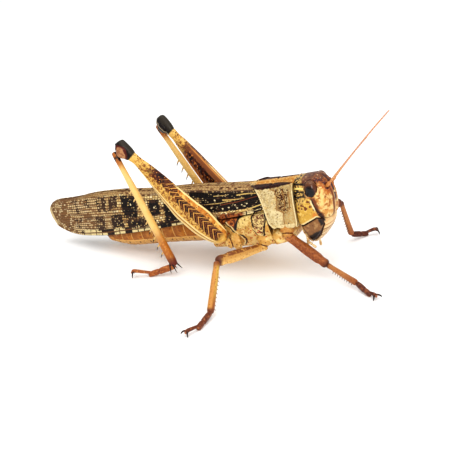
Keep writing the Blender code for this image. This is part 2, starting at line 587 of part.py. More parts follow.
def spines(name, start, end, dorsal, length):
    """Two rows of spines and the end spurs of a hind shank, as one set of pyramids."""
    verts, faces = [], []

    def thorn(base, tip, radius):
        base, tip = Vector(base), Vector(tip)
        along = (tip - base).normalized()
        u = along.orthogonal().normalized()
        v = along.cross(u)
        first = len(verts)
        for k in range(4):
            a = math.pi / 2 * k
            verts.append(tuple(base + (u * math.cos(a) + v * math.sin(a)) * radius))
        verts.append(tuple(tip))
        faces.append((first, first + 1, first + 2, first + 3))
        for k in range(4):
            faces.append((first + k, first + (k + 1) % 4, first + 4))

    for side in (-1, 1):
        for i in range(SPINE_COUNT):
            s = length * (0.30 + 0.60 * (i + (0.4 if side > 0 else 0)) / SPINE_COUNT)
            z = 0.42 + 0.1 * i / SPINE_COUNT
            thorn((s, side * 0.28, z - 0.1), (s + 0.75, side * 0.75, z + SPINE_LENGTH * 0.72), 0.17)
        thorn((length * 0.955, side * 0.35, 0.35), (length + 0.9, side * 1.05, 0.75), 0.2)
        thorn((length * 0.955, side * 0.35, -0.1), (length + SPUR_LENGTH - 0.6, side * 0.95, -0.45), 0.2)
    made = add_object(name, verts, faces, cutter=True, smooth=False)
    made.matrix_world = axis_matrix(start, end, dorsal)
    return made


for leg, joints in POSE.items():
    kind, word = leg.split("_")
    side = -1 if word == "right" else 1
    hip, knee, ankle = (Vector(joints[j]) for j in ("hip", "knee", "ankle"))

    # coxa: short cone from the flank to a ball at the hip joint, trimmed to the body
    dx, dy, dz = COXA_ROOT[kind]
    inner = hip + Vector((dx, side * dy, dz))
    root, ball = COXA_RADII[kind]
    reach = (hip - inner).length
    coxa = segment("coxa_" + leg, inner, hip, (0, side, 0.2), [
        (0.0, root, root, root), (0.55, root, root, root), (0.85, ball * 1.05, ball * 1.05, ball * 1.05),
        (1.0, ball, ball, ball), (1 + ball * 0.75 / reach, ball * 0.6, ball * 0.6, ball * 0.6)],
        "yellow", 0.45, squareness=2.0)
    combine(coxa, thorax_cutter, "DIFFERENCE")
    if kind == "fore":
        combine(coxa, prosternum_cutter, "DIFFERENCE")
        combine(coxa, pronotum_cutter, "DIFFERENCE")

    # femur and tibia lie in the plane of the bent knee
    plane_up = {"fore": Vector((0.3, 0, 1)), "mid": Vector((0, 0, 1)),
                "hind": None}[kind]
    if kind == "hind":
        blade = Vector((HIND_PLANE[0], side * HIND_PLANE[1], HIND_PLANE[2]))
        plane_up = blade.cross(knee - hip) * side
    sides = 12 if kind == "hind" else 8
    thigh = segment("femur_" + leg, hip, knee, plane_up, FEMUR[kind],
                    "ochre" if kind != "fore" else "orange", 0.42, sides=sides,
                    squareness=2.0 if kind == "hind" else 2.3)
    bend = {"fore": Vector((0.3, 0, 1)), "mid": Vector((0, side, 0.3)), "hind": Vector((-1, 0, 0))}[kind]
    head_of_shank = knee.copy()
    if kind == "hind":
        away = (knee - hip).normalized()
        down = away.cross(plane_up).cross(away).normalized()
        head_of_shank = knee + away * SHANK_HEAD[0] - down * SHANK_HEAD[1]
    shank = segment("tibia_" + leg, head_of_shank, ankle, bend, TIBIA[kind],
                    {"fore": "orange", "mid": "ochre", "hind": "cream"}[kind], 0.42)
    if kind == "hind":
        combine(shank, spines("spines_" + leg, head_of_shank, ankle, bend,
                              (ankle - head_of_shank).length), "UNION")
    combine(shank, segment("knee_room_" + leg, hip, knee, plane_up, FEMUR[kind], None, 0, sides=sides,
                           squareness=2.0 if kind == "hind" else 2.3, grow=GAP, cutter=True), "DIFFERENCE")
    foot = tarsus("tarsus_" + leg, kind, ankle, joints["pad"], joints["claw_base"], joints["claw_drop"])
    combine(foot, segment("ankle_room_" + leg, head_of_shank, ankle, bend, TIBIA[kind][-3:], None, 0,
                          grow=GAP, cutter=True), "DIFFERENCE")

# ---------------------------------------------------------------- centre the figure
bpy.context.view_layer.update()
low, high = Vector((1e9,) * 3), Vector((-1e9,) * 3)
graph = bpy.context.evaluated_depsgraph_get()
for obj in figure.objects:
    shape = obj.evaluated_get(graph)
    mesh = shape.to_mesh()
    for vert in mesh.vertices:
        p = shape.matrix_world @ vert.co
        for axis in range(3):
            low[axis] = min(low[axis], p[axis])
            high[axis] = max(high[axis], p[axis])
    shape.to_mesh_clear()
shift = Vector((-(low.x + high.x) / 2, -(low.y + high.y) / 2, -low.z))
for obj in list(figure.objects) + list(cutters.objects):
    obj.matrix_world = Matrix.Translation(shift) @ obj.matrix_world
bpy.context.view_layer.update()
print("shift mm", [round(v / MM, 4) for v in shift], "size mm", [round(v / MM, 3) for v in high - low])
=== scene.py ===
"""Adult migratory locust standing on a pale studio floor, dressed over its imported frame.

The trunk is laid out in millimetres in a body frame: X along the back towards the head, Y to the
animal's left, Z up, zero at the rear tip of the pronotum, the whole frame pitched 13 degrees nose-up.
Each leg segment is laid out along its own axis, between the two joints that it spans.
"""

import math

import bpy
import numpy as np
from mathutils import Matrix, Vector


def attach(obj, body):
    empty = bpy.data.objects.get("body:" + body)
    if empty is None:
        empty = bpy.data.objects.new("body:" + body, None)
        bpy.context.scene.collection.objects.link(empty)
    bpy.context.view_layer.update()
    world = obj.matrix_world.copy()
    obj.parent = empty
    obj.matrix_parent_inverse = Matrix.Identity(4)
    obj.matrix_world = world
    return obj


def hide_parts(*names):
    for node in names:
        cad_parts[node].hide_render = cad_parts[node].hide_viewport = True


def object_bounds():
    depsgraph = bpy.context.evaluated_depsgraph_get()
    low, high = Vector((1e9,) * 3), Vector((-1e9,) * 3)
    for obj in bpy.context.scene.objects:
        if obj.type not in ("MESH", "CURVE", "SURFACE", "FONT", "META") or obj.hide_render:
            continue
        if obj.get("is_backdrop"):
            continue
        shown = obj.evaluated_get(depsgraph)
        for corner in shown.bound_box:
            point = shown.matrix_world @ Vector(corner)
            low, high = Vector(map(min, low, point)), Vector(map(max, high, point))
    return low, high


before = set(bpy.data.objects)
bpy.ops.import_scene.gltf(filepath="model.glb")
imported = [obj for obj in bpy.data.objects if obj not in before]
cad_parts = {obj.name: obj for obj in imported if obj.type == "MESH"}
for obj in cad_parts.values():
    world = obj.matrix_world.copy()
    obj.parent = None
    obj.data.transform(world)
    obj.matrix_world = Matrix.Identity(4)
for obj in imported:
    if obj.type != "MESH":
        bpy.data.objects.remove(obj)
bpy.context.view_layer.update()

# ---------------------------------------------------------------- studio
# A white paper sweep under one wide soft box, with a smaller one by the lens that catches the eye.
# The long lens stands ahead of the animal on its right and looks a little down.
AZIMUTH, ELEVATION, ROLL = (math.radians(a) for a in (31.0, 24.0, -8.0))
AIM = Vector((0.003428, 0.0004825, 0.00666))
DISTANCE = 0.1996                    # lens to aim, m
FOCAL_LENGTH = 89.394                # mm, on a sensor 36 mm wide
PAPER_SIZE = 3.0                     # m
ROOM_LIGHT = 0.68

away = Vector((math.sin(AZIMUTH) * math.cos(ELEVATION), -math.cos(AZIMUTH) * math.cos(ELEVATION),
               math.sin(ELEVATION)))
level = Vector((math.cos(AZIMUTH), math.sin(AZIMUTH), 0.0))
rise = away.cross(level)
across = level * math.cos(ROLL) + rise * math.sin(ROLL)
upward = rise * math.cos(ROLL) - level * math.sin(ROLL)
lens = bpy.data.cameras.new("studio_lens")
lens.sensor_width = 36.0
lens.lens = FOCAL_LENGTH
lens.clip_start = 0.01
lens.clip_end = 20.0
camera = bpy.data.objects.new("studio_camera", lens)
camera.matrix_world = (Matrix.Translation(AIM + away * DISTANCE)
                       @ Matrix((across, upward, away)).transposed().to_4x4())
bpy.context.scene.collection.objects.link(camera)
bpy.context.scene.camera = camera
bpy.context.scene.view_settings.view_transform = "Standard"
bpy.context.scene.view_settings.look = "Medium High Contrast"

bpy.ops.mesh.primitive_grid_add(x_subdivisions=40, y_subdivisions=40, size=PAPER_SIZE)
floor = bpy.context.object
floor.name = "paper_floor"
paper = bpy.data.materials.new("white_paper")
paper.use_nodes = True
paper_shader = paper.node_tree.nodes["Principled BSDF"]
paper_shader.inputs["Roughness"].default_value = 0.9
paper_shader.inputs["Specular IOR Level"].default_value = 0.1
paper_grain = paper.node_tree.nodes.new("ShaderNodeTexNoise")
paper_grain.inputs["Scale"].default_value = 60.0
paper_tone = paper.node_tree.nodes.new("ShaderNodeMapRange")
paper_tone.inputs["To Min"].default_value = 0.93
paper_tone.inputs["To Max"].default_value = 0.97
paper.node_tree.links.new(paper_grain.outputs["Fac"], paper_tone.inputs["Value"])
paper.node_tree.links.new(paper_tone.outputs["Result"], paper_shader.inputs["Base Color"])
floor.data.materials.append(paper)
floor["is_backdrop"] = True

room = bpy.data.worlds.new("white_room")
room.use_nodes = True
room.node_tree.nodes["Background"].inputs["Color"].default_value = (1.0, 0.995, 0.985, 1)
room.node_tree.nodes["Background"].inputs["Strength"].default_value = ROOM_LIGHT
bpy.context.scene.world = room


def soft_box(name, place, width, height, power, tint=(1, 1, 1)):
    """A rectangular lamp that faces the animal."""
    lamp = bpy.data.lights.new(name, "AREA")
    lamp.shape = "RECTANGLE"
    lamp.size, lamp.size_y = width, height
    lamp.energy = power
    lamp.color = tint
    holder = bpy.data.objects.new(name, lamp)
    holder.location = place
    holder.rotation_euler = (Vector(place) - AIM).to_track_quat("Z", "Y").to_euler()
    bpy.context.scene.collection.objects.link(holder)


soft_box("roof_box", (0.03, -0.05, 0.34), 0.50, 0.44, 0.85)
soft_box("lens_box", (0.19, -0.24, 0.13), 0.12, 0.16, 0.34, (1, 0.97, 0.92))

# ---------------------------------------------------------------- thorax
# The fused plates behind the neck shield that carry the wings and four of the legs: dry cuticle,
# folded in at the sutures between the plates. It grows as one box, so it is one shell here.
MM = 0.001
PITCH = math.radians(13.0)
TIP_OF_SHIELD = (9.418, 0.4825, 15.0)       # body-frame zero, mm in the figure's frame
# half sections as (across, height) from top middle to bottom middle, and how far ahead each point lies
THORAX_FRONT = [(0, -0.4), (1.3, -0.45), (1.95, -0.95), (2.75, -2.4), (3.05, -3.9), (3.75, -4.3),
                (3.95, -6.0), (3.85, -7.9), (3.2, -10.1), (0, -10.8)]
THORAX_REAR = [(0, 0.3), (0.9, 0.1), (1.4, -0.4), (2.6, -2.4), (3.1, -3.9), (3.45, -4.35),
               (3.55, -6.0), (3.5, -7.7), (2.9, -9.4), (0, -9.8)]
THORAX_X = [0.1, 1.2, 2.3, 3.0, 3.3, 3.3, 3.3, 3.3, 3.3, 3.6]
THORAX_BACK_X = -9.2


def body_to_floor(p):
    """Body-frame millimetres to the figure's frame, still in millimetres."""
    c, s = math.cos(PITCH), math.sin(PITCH)
    return np.stack([c * p[:, 0] - s * p[:, 2] + TIP_OF_SHIELD[0], p[:, 1] + TIP_OF_SHIELD[1],
                     s * p[:, 0] + c * p[:, 2] + TIP_OF_SHIELD[2]], 1)


def through(points, stops, closed=False):
    """Smooth curve through points (K, ...), read at fractional stops."""
    points, stops = np.asarray(points, float), np.asarray(stops, float)
    first = np.floor(stops).astype(int)
    if not closed:
        first = np.clip(first, 0, len(points) - 2)
    f = (stops - first).reshape([-1] + [1] * (points.ndim - 1))

    def at(j):
        return points[j % len(points)] if closed else points[np.clip(j, 0, len(points) - 1)]

    a, b, c, d = at(first - 1), at(first), at(first + 1), at(first + 2)
    return 0.5 * (2 * b + (c - a) * f + (2 * a - 5 * b + 4 * c - d) * f ** 2
                  + (3 * b - a - 3 * c + d) * f ** 3)


def spaced(steps, count):
    """Stops that share a chain of steps out evenly."""
    ends = np.concatenate(([0], np.cumsum(steps)))
    return np.interp(np.linspace(0, ends[-1], count, endpoint=False), ends, np.arange(len(steps) + 1))


def smooth_skin(rings, along, around):
    """Dense rings of points over a few control rings: (rings, points, 3) to (along, around, 3)."""
    rings = np.asarray(rings, float)
    skin = through(rings, np.linspace(0, len(rings) - 1, along))
    stops = spaced(np.linalg.norm(np.roll(rings, -1, 1) - rings, axis=2).mean(0), around)
    return through(skin.transpose(1, 0, 2), stops, closed=True).transpose(1, 0, 2)


def whole(half):
    """Both sides of a half section that runs from the top middle to the bottom middle."""
    return half + [(x, -y, z) for x, y, z in reversed(half[1:-1])]


def closed(grid):
    """Points and outward faces of the closed skin over rings of points."""
    along, around = grid.shape[:2]
    points = np.concatenate([grid.reshape(-1, 3), grid[0].mean(0)[None], grid[-1].mean(0)[None]])
    i, k = np.meshgrid(np.arange(along - 1), np.arange(around), indexing="ij")
    j = (k + 1) % around
    quads = np.stack([i * around + k, i * around + j, (i + 1) * around + j, (i + 1) * around + k], 2)
    k = np.arange(around)
    j = (k + 1) % around
    last = (along - 1) * around
    fans = np.concatenate([np.stack([j, k, np.full(around, along * around)], 1),
                           np.stack([last + k, last + j, np.full(around, along * around + 1)], 1)])
    faces = quads.reshape(-1, 4).tolist() + fans.tolist()
    a, b, c = (points[[f[n] for f in faces]] - points.mean(0) for n in (0, 1, 2))
    if np.einsum("ij,ij->i", a, np.cross(b, c)).sum() < 0:
        faces = [f[::-1] for f in faces]
    return points, faces


def shell(name, grid, relief=None, marks=None, place=body_to_floor, more=()):
    """Closed mesh over rings of points in mm. relief gives mm outwards, marks the painted fields."""
    return cast(name, *closed(grid), relief, marks, place, more)


def cast(name, points, faces, relief=None, marks=None, place=body_to_floor, more=()):
    """Mesh object from points in mm, pushed out by its relief and carrying its painted fields."""
    mesh = bpy.data.meshes.new(name)
    mesh.from_pydata(points.tolist(), [], faces)
    mesh.update()
    tips = points[[f[0] for f in faces]], points[[f[1] for f in faces]], points[[f[2] for f in faces]]
    if np.einsum("ij,ij->i", tips[0], np.cross(tips[1], tips[2])).sum() < 0:
        mesh.flip_normals()
        mesh.update()
    if relief is not None:
        normals = np.empty(len(points) * 3)
        mesh.vertices.foreach_get("normal", normals)
        points = points + normals.reshape(-1, 3) * relief(points)[:, None]
    made = bpy.data.objects.new(name, mesh)
    bpy.context.scene.collection.objects.link(made)
    keep_fields(mesh, points, marks, more)
    mesh.vertices.foreach_set("co", (place(points) * MM).ravel())
    mesh.polygons.foreach_set("use_smooth", [True] * len(mesh.polygons))
    mesh.update()
    return made


def keep_fields(mesh, points, marks, more=()):
    """Stores where each point lies, in mm, and the distances that the finish reads."""
    spot = mesh.attributes.new("mm", "FLOAT_VECTOR", "POINT")
    spot.data.foreach_set("vector", points.ravel())
    fields = dict(more)
    fields.update(marks(points) if marks else {})
    for key, values in fields.items():
        mesh.attributes.new(key, "FLOAT", "POINT").data.foreach_set("value", np.asarray(values, float))


def off_line(p, line, axes=(0, 2)):
    """Distance in mm from points to a line drawn in the side view, or in another pair of axes."""
    q, line = p[:, axes], np.asarray(line, float)
    best = np.full(len(q), 9.0)
    for a, b in zip(line, line[1:]):
        d = b - a
        t = np.clip(((q - a) @ d) / max(d @ d, 1e-9), 0, 1)
        best = np.minimum(best, np.linalg.norm(q - a - t[:, None] * d, axis=1))
    return best


def depth_in(p, outline, axes=(0, 2)):
    """Depth in mm of points inside an outline drawn the same way; negative outside it."""
    q, inside = p[:, axes], np.zeros(len(p), bool)
    loop = list(outline) + [outline[0]]
    for (x0, z0), (x1, z1) in zip(loop, loop[1:]):
        if z0 != z1:
            crosses = (q[:, 1] > min(z0, z1)) & (q[:, 1] <= max(z0, z1))
            inside ^= crosses & (q[:, 0] < x0 + (q[:, 1] - z0) * (x1 - x0) / (z1 - z0))
    return np.where(inside, 1, -1) * off_line(p, loop, axes)


def bump_up(distance, width):
    """1 on a line, easing to 0 at the given width."""
    return np.exp(-(distance / width) ** 2)


def tone(red, green, blue):
    """Display colour, 0 to 255, as the linear colour that a shader takes."""
    return tuple(c / 12.92 if c < 0.04045 else ((c + 0.055) / 1.055) ** 2.4
                 for c in (red / 255, green / 255, blue / 255)) + (1.0,)


class Finish:
    """One cuticle finish: a ground colour, then coats laid over it, then gloss and relief.

    Where a value is asked for, the name of a painted field stands for that field.
    """

    def __init__(self, name, ground, rough=0.45, gloss=0.3):
        self.material = bpy.data.materials.new(name)
        self.material.use_nodes = True
        self.tree = self.material.node_tree
        self.shader = self.tree.nodes["Principled BSDF"]
        self.shader.inputs["Roughness"].default_value = rough
        self.shader.inputs["Specular IOR Level"].default_value = gloss
        self.spot = self.node("ShaderNodeAttribute", {}, "Vector", attribute_name="mm")
        self.colour = tone(*ground)
        self.height = None

    def feed(self, value, slot):
        """Links a value to a socket, or sets it there when it is a plain number or colour."""
        if isinstance(value, bpy.types.NodeSocket):
            self.tree.links.new(value, slot)
        else:
            slot.default_value = value

    def node(self, kind, values, output, **settings):
        """Adds one node with its values and settings, and gives the output asked for."""
        made = self.tree.nodes.new(kind)
        for key, value in settings.items():
            setattr(made, key, value)
        for key, value in values.items():
            self.feed(self.field(value) if isinstance(value, str) else value, made.inputs[key])
        return made.outputs[output]

    def field(self, name):
        """A painted field, as it was stored on the points."""
        return self.node("ShaderNodeAttribute", {}, "Fac", attribute_name=name)

    def calc(self, operation, a, b=0.0, c=0.0):
        """One sum on up to three values."""
        return self.node("ShaderNodeMath", {0: a, 1: b, 2: c}, 0, operation=operation)

    def off(self, value, place=0.0):
        """How far a value lies from a place."""
        return self.calc("ABSOLUTE", self.calc("SUBTRACT", value, place))

    def every(self, *masks):
        """Where all the masks overlap."""
        shared = masks[0]
        for mask in masks[1:]:
            shared = self.calc("MULTIPLY", shared, mask)
        return shared

    def cloud(self, size, detail=2.0, twist=0.0, where=None):
        """Soft uneven values around 0.5, in patches of a size in mm."""
        return self.node("ShaderNodeTexNoise", {
            "Vector": where or self.spot, "Scale": 1.0 / size, "Detail": detail, "Distortion": twist}, 0)

    def ragged(self, value, amount, size):
        """The value with an uneven edge added."""
        sway = self.calc("MULTIPLY_ADD", self.cloud(size, 3.0), 2 * amount, -amount)
        return self.calc("ADD", value, sway)

    def step(self, value, low, high, uneven=0.0, size=0.4):
        """0 below low, 1 above high, smooth between; low above high turns it round."""
        value = self.ragged(value, uneven, size) if uneven else value
        return self.node("ShaderNodeMapRange", {"Value": value, "From Min": low, "From Max": high}, 0,
                         interpolation_type="SMOOTHSTEP")

    def blots(self, size, detail, low, high, twist=0.0):
        """Irregular patches, cut out of a cloud between two of its values."""
        return self.step(self.cloud(size, detail, twist), low, high)

    def dots(self, size, stretch=None):
        """Distance to the nearest of many scattered centres, 0 at a centre."""
        where = self.spot
        if stretch:
            where = self.node("ShaderNodeMapping", {"Vector": where, "Scale": stretch}, 0)
        return self.node("ShaderNodeTexVoronoi", {"Vector": where, "Scale": 1.0 / size}, "Distance")

    def pores(self, size, low, high, stretch=None):
        """Scattered round dots, cut between two distances from their centres."""
        return self.step(self.dots(size, stretch), low, high)

    def within(self, name, edge=0.0, soft=0.06, uneven=0.0, size=0.4):
        """1 where a field of depths is over the edge."""
        return self.step(name, edge - soft, edge + soft, uneven, size)

    def line(self, name, width, soft=0.05, uneven=0.0, size=0.4):
        """1 within a width of a line whose distance is in a field."""
        return self.step(name, width + soft, width - soft, uneven, size)

    def coat(self, colour, *masks):
        """Lays a colour over what is there, as far as all the masks let it."""
        mixed = self.tree.nodes.new("ShaderNodeMix")
        mixed.data_type = "RGBA"
        slots = [s for s in mixed.inputs if s.type == "RGBA"] + [mixed.inputs[0]]
        for value, slot in zip((self.colour, tone(*colour), self.every(*masks)), slots):
            self.feed(value, slot)
        self.colour = [s for s in mixed.outputs if s.type == "RGBA"][0]

    def raise_by(self, value, amount):
        """Adds to the fine relief, in mm."""
        scaled = self.calc("MULTIPLY", value, amount)
        self.height = scaled if self.height is None else self.calc("ADD", self.height, scaled)
        return self

    def dry(self, value, low, high):
        """Roughness that follows a value from 0 to 1."""
        self.feed(self.node("ShaderNodeMapRange", {"Value": value, "To Min": low, "To Max": high}, 0),
                  self.shader.inputs["Roughness"])

    def on(self, obj):
        """Closes the finish and puts it on an object."""
        self.feed(self.colour, self.shader.inputs["Base Color"])
        if self.height is not None and not self.shader.inputs["Normal"].is_linked:
            bump = self.node("ShaderNodeBump", {"Height": self.height, "Distance": MM, "Strength": 1.0}, 0)
            self.feed(bump, self.shader.inputs["Normal"])
        obj.data.materials.clear()
        obj.data.materials.append(self.material)
        return obj


def fit(obj, slot, *nodes):
    """The piece rides on the figure and stands for its solids, which it hides; the slot is not used."""
    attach(obj, "root")
    if nodes:
        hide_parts(*nodes)
    return obj


# lines and outlines of the side view, (along, height) in mm
SUTURES = [[(3.15, -4.2), (3.05, -5.2), (2.3, -6.7), (1.75, -8.1)],
           [(0.85, -3.9), (0.45, -4.7), (0.25, -6.2), (0.5, -7.6)]]
LOWER_RIM = [(0.2, -6.4), (0.6, -7.4), (1.4, -8.1), (2.5, -8.7), (3.2, -9.0)]
HAUNCH_RIDGE = [(-4.7, -4.7), (-4.3, -5.25), (-3.9, -5.6), (-3.55, -6.4), (-3.0, -6.9), (-2.5, -7.6),
                (-2.15, -8.2), (-2.2, -8.8), (-2.7, -9.2)]
SPECKLED_PLATE = [(0.95, -3.9), (3.1, -4.0), (3.0, -5.3), (2.2, -6.9), (1.7, -8.0), (0.6, -7.2),
                  (0.4, -5.0)]
PALE_PLATE = [(-2.7, -5.5), (-1.9, -4.2), (-0.3, -3.8), (0.65, -4.05), (0.4, -4.7), (-1.8, -6.2),
              (-3.1, -6.2)]
WING_ROOT = [(-8.0, -2.5), (-3.9, -3.4), (-1.9, -3.9), (-2.5, -5.0), (-3.3, -6.0), (-3.9, -5.8),
             (-4.6, -4.9), (-9.0, -5.2)]


def thorax_relief(p):
    """Raised plates, sunk sutures and the beaded ridge; heights and widths in mm, as in every relief."""
    side = 1 - np.exp(-np.maximum(0, abs(p[:, 1]) - 2.2) * 2)
    grooves = sum(bump_up(off_line(p, s), 0.17) for s in SUTURES)
    plates = 0.13 * np.clip(depth_in(p, SPECKLED_PLATE) / 0.5, 0, 1) ** 0.5
    plates += 0.16 * np.clip(depth_in(p, PALE_PLATE) / 0.6, 0, 1) ** 0.5
    beads = 0.14 * bump_up(off_line(p, HAUNCH_RIDGE), 0.22) * (1 + 0.3 * np.sin(p[:, 2] * 7))
    return side * (plates - 0.2 * grooves + beads + 0.13 * bump_up(off_line(p, LOWER_RIM), 0.16)
                   - 0.14 * bump_up(off_line(p, LOWER_RIM) - 0.4, 0.14)) - 0.06


def thorax_marks(p):
    """Distances to lines and depths inside plates that the finish of the thorax reads."""
    behind = [(x - 0.32, z - 0.1) for x, z in HAUNCH_RIDGE[:5]]
    behind += [(x + 0.32, z + 0.1) for x, z in HAUNCH_RIDGE[5:]]
    return {"suture": np.min([off_line(p, s) for s in SUTURES], 0), "ridge": off_line(p, HAUNCH_RIDGE),
            "rim": off_line(p, LOWER_RIM), "behind": off_line(p, behind),
            "speckled": depth_in(p, SPECKLED_PLATE), "pale": depth_in(p, PALE_PLATE),
            "wing_root": depth_in(p, WING_ROOT), "low": -6.2 - p[:, 2], "back": p[:, 0],
            "plate_edge": off_line(p, [(-3.35, -6.2), (-2.85, -5.3), (-1.95, -4.15), (-1.2, -3.85)])}


thorax_rings = []
for t in np.linspace(0, 1, 6):
    half = []
    for k, ((yf, zf), (yr, zr)) in enumerate(zip(THORAX_FRONT, THORAX_REAR)):
        bulge = 0.3 * math.sin(math.pi * t) if 5 <= k <= 8 else 0.0      # the flank only
        half.append((THORAX_X[k] * (1 - t) + THORAX_BACK_X * t, yf * (1 - t) + yr * t + bulge,
                     zf * (1 - t) + zr * t))
    thorax_rings.append(whole(half))
thorax = shell("thorax_plates", smooth_skin(thorax_rings, 190, 260), thorax_relief, thorax_marks)

pleura = Finish("thorax_cuticle", (188, 144, 72), 0.42)
pleura.coat((220, 188, 118), pleura.blots(0.7, 4, 0.48, 0.62))
pleura.coat((166, 112, 50), pleura.blots(0.45, 4, 0.56, 0.66))
pleura.coat((210, 176, 112), pleura.step("low", 0.2, 2.0), pleura.blots(1.4, 3, 0.4, 0.6))
pleura.coat((198, 150, 72), pleura.step("back", 1.8, 2.6), pleura.blots(0.9, 4, 0.4, 0.6))
pleura.coat((88, 40, 20), pleura.within("wing_root", 0.0, 0.3, 0.5, 0.9))
pleura.coat((186, 106, 44), pleura.within("wing_root", 0.0, 0.3), pleura.blots(0.4, 4, 0.5, 0.58))
pleura.coat((220, 192, 122), pleura.within("pale", 0.0, 0.14, 0.22, 0.6))
pleura.coat((194, 160, 90), pleura.within("pale", 0.0, 0.1), pleura.blots(0.5, 3, 0.48, 0.58))
pleura.coat((112, 58, 28), pleura.within("pale", 0.05, 0.1), pleura.pores(0.5, 0.26, 0.16))
pleura.coat((216, 188, 124), pleura.within("speckled", 0.0, 0.1, 0.12))
worms = pleura.off(pleura.cloud(0.55, 2, 1.0), 0.5)
pleura.coat((92, 40, 20), pleura.within("speckled", 0.12, 0.12), pleura.step(worms, 0.06, 0.035))
pleura.coat((78, 34, 20), pleura.pores(0.5, 0.3, 0.2), pleura.blots(0.9, 2, 0.44, 0.52))
pleura.coat((170, 72, 30), pleura.pores(0.62, 0.32, 0.2, (1, 1, 1.3)), pleura.within("low", 0.0, 0.6))
pleura.coat((30, 14, 12), pleura.line("suture", 0.14, 0.08, 0.16, 0.6))
pleura.coat((22, 16, 24), pleura.line("plate_edge", 0.25, 0.12, 0.24, 0.7))
pleura.coat((34, 16, 12), pleura.line("behind", 0.14, 0.08, 0.12, 0.6))
pleura.coat((222, 196, 138), pleura.line("ridge", 0.1, 0.08, 0.1))
pleura.coat((216, 188, 128), pleura.line("rim", 0.1, 0.08, 0.08))
pleura.raise_by(pleura.pores(0.3, 0.0, 0.3), 0.04).raise_by(pleura.cloud(0.22, 4), 0.06)
pleura.dry(pleura.cloud(1.0), 0.34, 0.54)
fit(pleura.on(thorax), "thorax_shell", "thorax")

# ---------------------------------------------------------------- breast plate
# The low plate between the fore legs, a yellow-ochre sheet of the same dry cuticle.
# along, half width, top and bottom, mm
BREAST = [(3.0, 3.4, -7.6, -10.8), (5.27, 3.0, -7.6, -10.6), (6.2, 2.6, -7.6, -10.1),
          (6.9, 2.0, -7.6, -9.0)]


def squared(angle, power):
    """Cosine and sine of a squared-off circle."""
    c, s = np.cos(angle), np.sin(angle)
    return np.sign(c) * abs(c) ** (2 / power), np.sign(s) * abs(s) ** (2 / power)


def circle(count):
    """Even angles once round."""
    return np.linspace(0, 2 * math.pi, count, endpoint=False)


rows = through(BREAST, np.linspace(0, 3, 40))
top, across_it = squared(circle(96), 3.0)
breast_grid = np.stack([np.broadcast_to(rows[:, :1], (40, 96)), rows[:, 1:2] * across_it,
                        (rows[:, 2:3] + rows[:, 3:]) / 2 + (rows[:, 2:3] - rows[:, 3:]) / 2 * top], 2)
breast = shell("breast_plate", breast_grid, lambda p: np.full(len(p), -0.05))
breast_coat = Finish("breast_cuticle", (206, 160, 84), 0.42)
breast_coat.coat((230, 200, 136), breast_coat.blots(0.9, 4, 0.48, 0.64))
breast_coat.coat((160, 104, 46), breast_coat.blots(0.5, 4, 0.6, 0.7))
breast_coat.coat((128, 74, 32), breast_coat.pores(0.6, 0.22, 0.12))
breast_coat.raise_by(breast_coat.cloud(0.25, 4), 0.05)
fit(breast_coat.on(breast), "thorax_shell", "prosternum")

# ---------------------------------------------------------------- abdomen
# Nine rings of cuticle, each slid a little over the next like a folding cup, with a soft fold along
# each flank; the last plates end in two short horns.
# along, half width, top and bottom, mm
ABDOMEN = [(-9.35, 3.45, -1.0, -8.9), (-12.0, 3.45, -1.1, -8.6), (-16.0, 3.35, -1.3, -8.25),
           (-20.0, 3.15, -1.5, -8.0), (-24.0, 2.95, -1.8, -7.85), (-27.5, 2.7, -2.3, -7.65),
           (-30.0, 2.3, -2.8, -7.1), (-31.6, 1.85, -3.3, -6.6)]
RING_LENGTH = (ABDOMEN[0][0] - ABDOMEN[-1][0]) / 9
FLANK_FOLD = [(-9.0, -6.9), (-20, -6.35), (-27, -6.1), (-32, -5.6)]


def ring_share(x):
    """How far along its own ring a place on the abdomen is, 0 at the front, 1 at the overlap."""
    return np.mod((ABDOMEN[0][0] - x) / RING_LENGTH, 1.0)


def abdomen_relief(p):
    """Each ring rises to its overlap and drops there; the flank fold is sunk."""
    share = ring_share(p[:, 0])
    lap = 0.13 * np.clip((share - 0.05) / 0.25, 0, 1) - 0.13 * np.clip((share - 0.92) / 0.08, 0, 1) ** 2
    return lap - 0.13 - 0.12 * bump_up(off_line(p, FLANK_FOLD), 0.16)


def abdomen_marks(p):
    """Ring edges, the flank fold, the part under it and the breathing holes along it."""
    share = ring_share(p[:, 0])
    below = np.interp(p[:, 0], *np.transpose(FLANK_FOLD[::-1]))
    return {"edge": np.minimum(share, 1 - share) * RING_LENGTH, "fold": off_line(p, FLANK_FOLD),
            "under": below - p[:, 2],
            "spiracle": np.hypot((share - 0.45) * RING_LENGTH, p[:, 2] - below + 0.45)}


def barrel(rows, along, around, crown=1.75, keel=2.3):
    """Rings from rows of x, half width, top and bottom, rounder above than below."""
    rows = through(rows, np.linspace(0, len(rows) - 1, along))
    angle = circle(around)
    up = np.cos(angle) > 0
    c1, s1 = squared(angle, crown)
    c2, s2 = squared(angle, keel)
    c, s = np.where(up, c1, c2), np.where(up, s1, s2)
    middle = rows[:, 2:3] + (rows[:, 3:] - rows[:, 2:3]) * 0.56
    reach = np.where(up, rows[:, 2:3] - middle, middle - rows[:, 3:])
    return np.stack([np.broadcast_to(rows[:, :1], reach.shape), rows[:, 1:2] * s, middle + reach * c], 2)


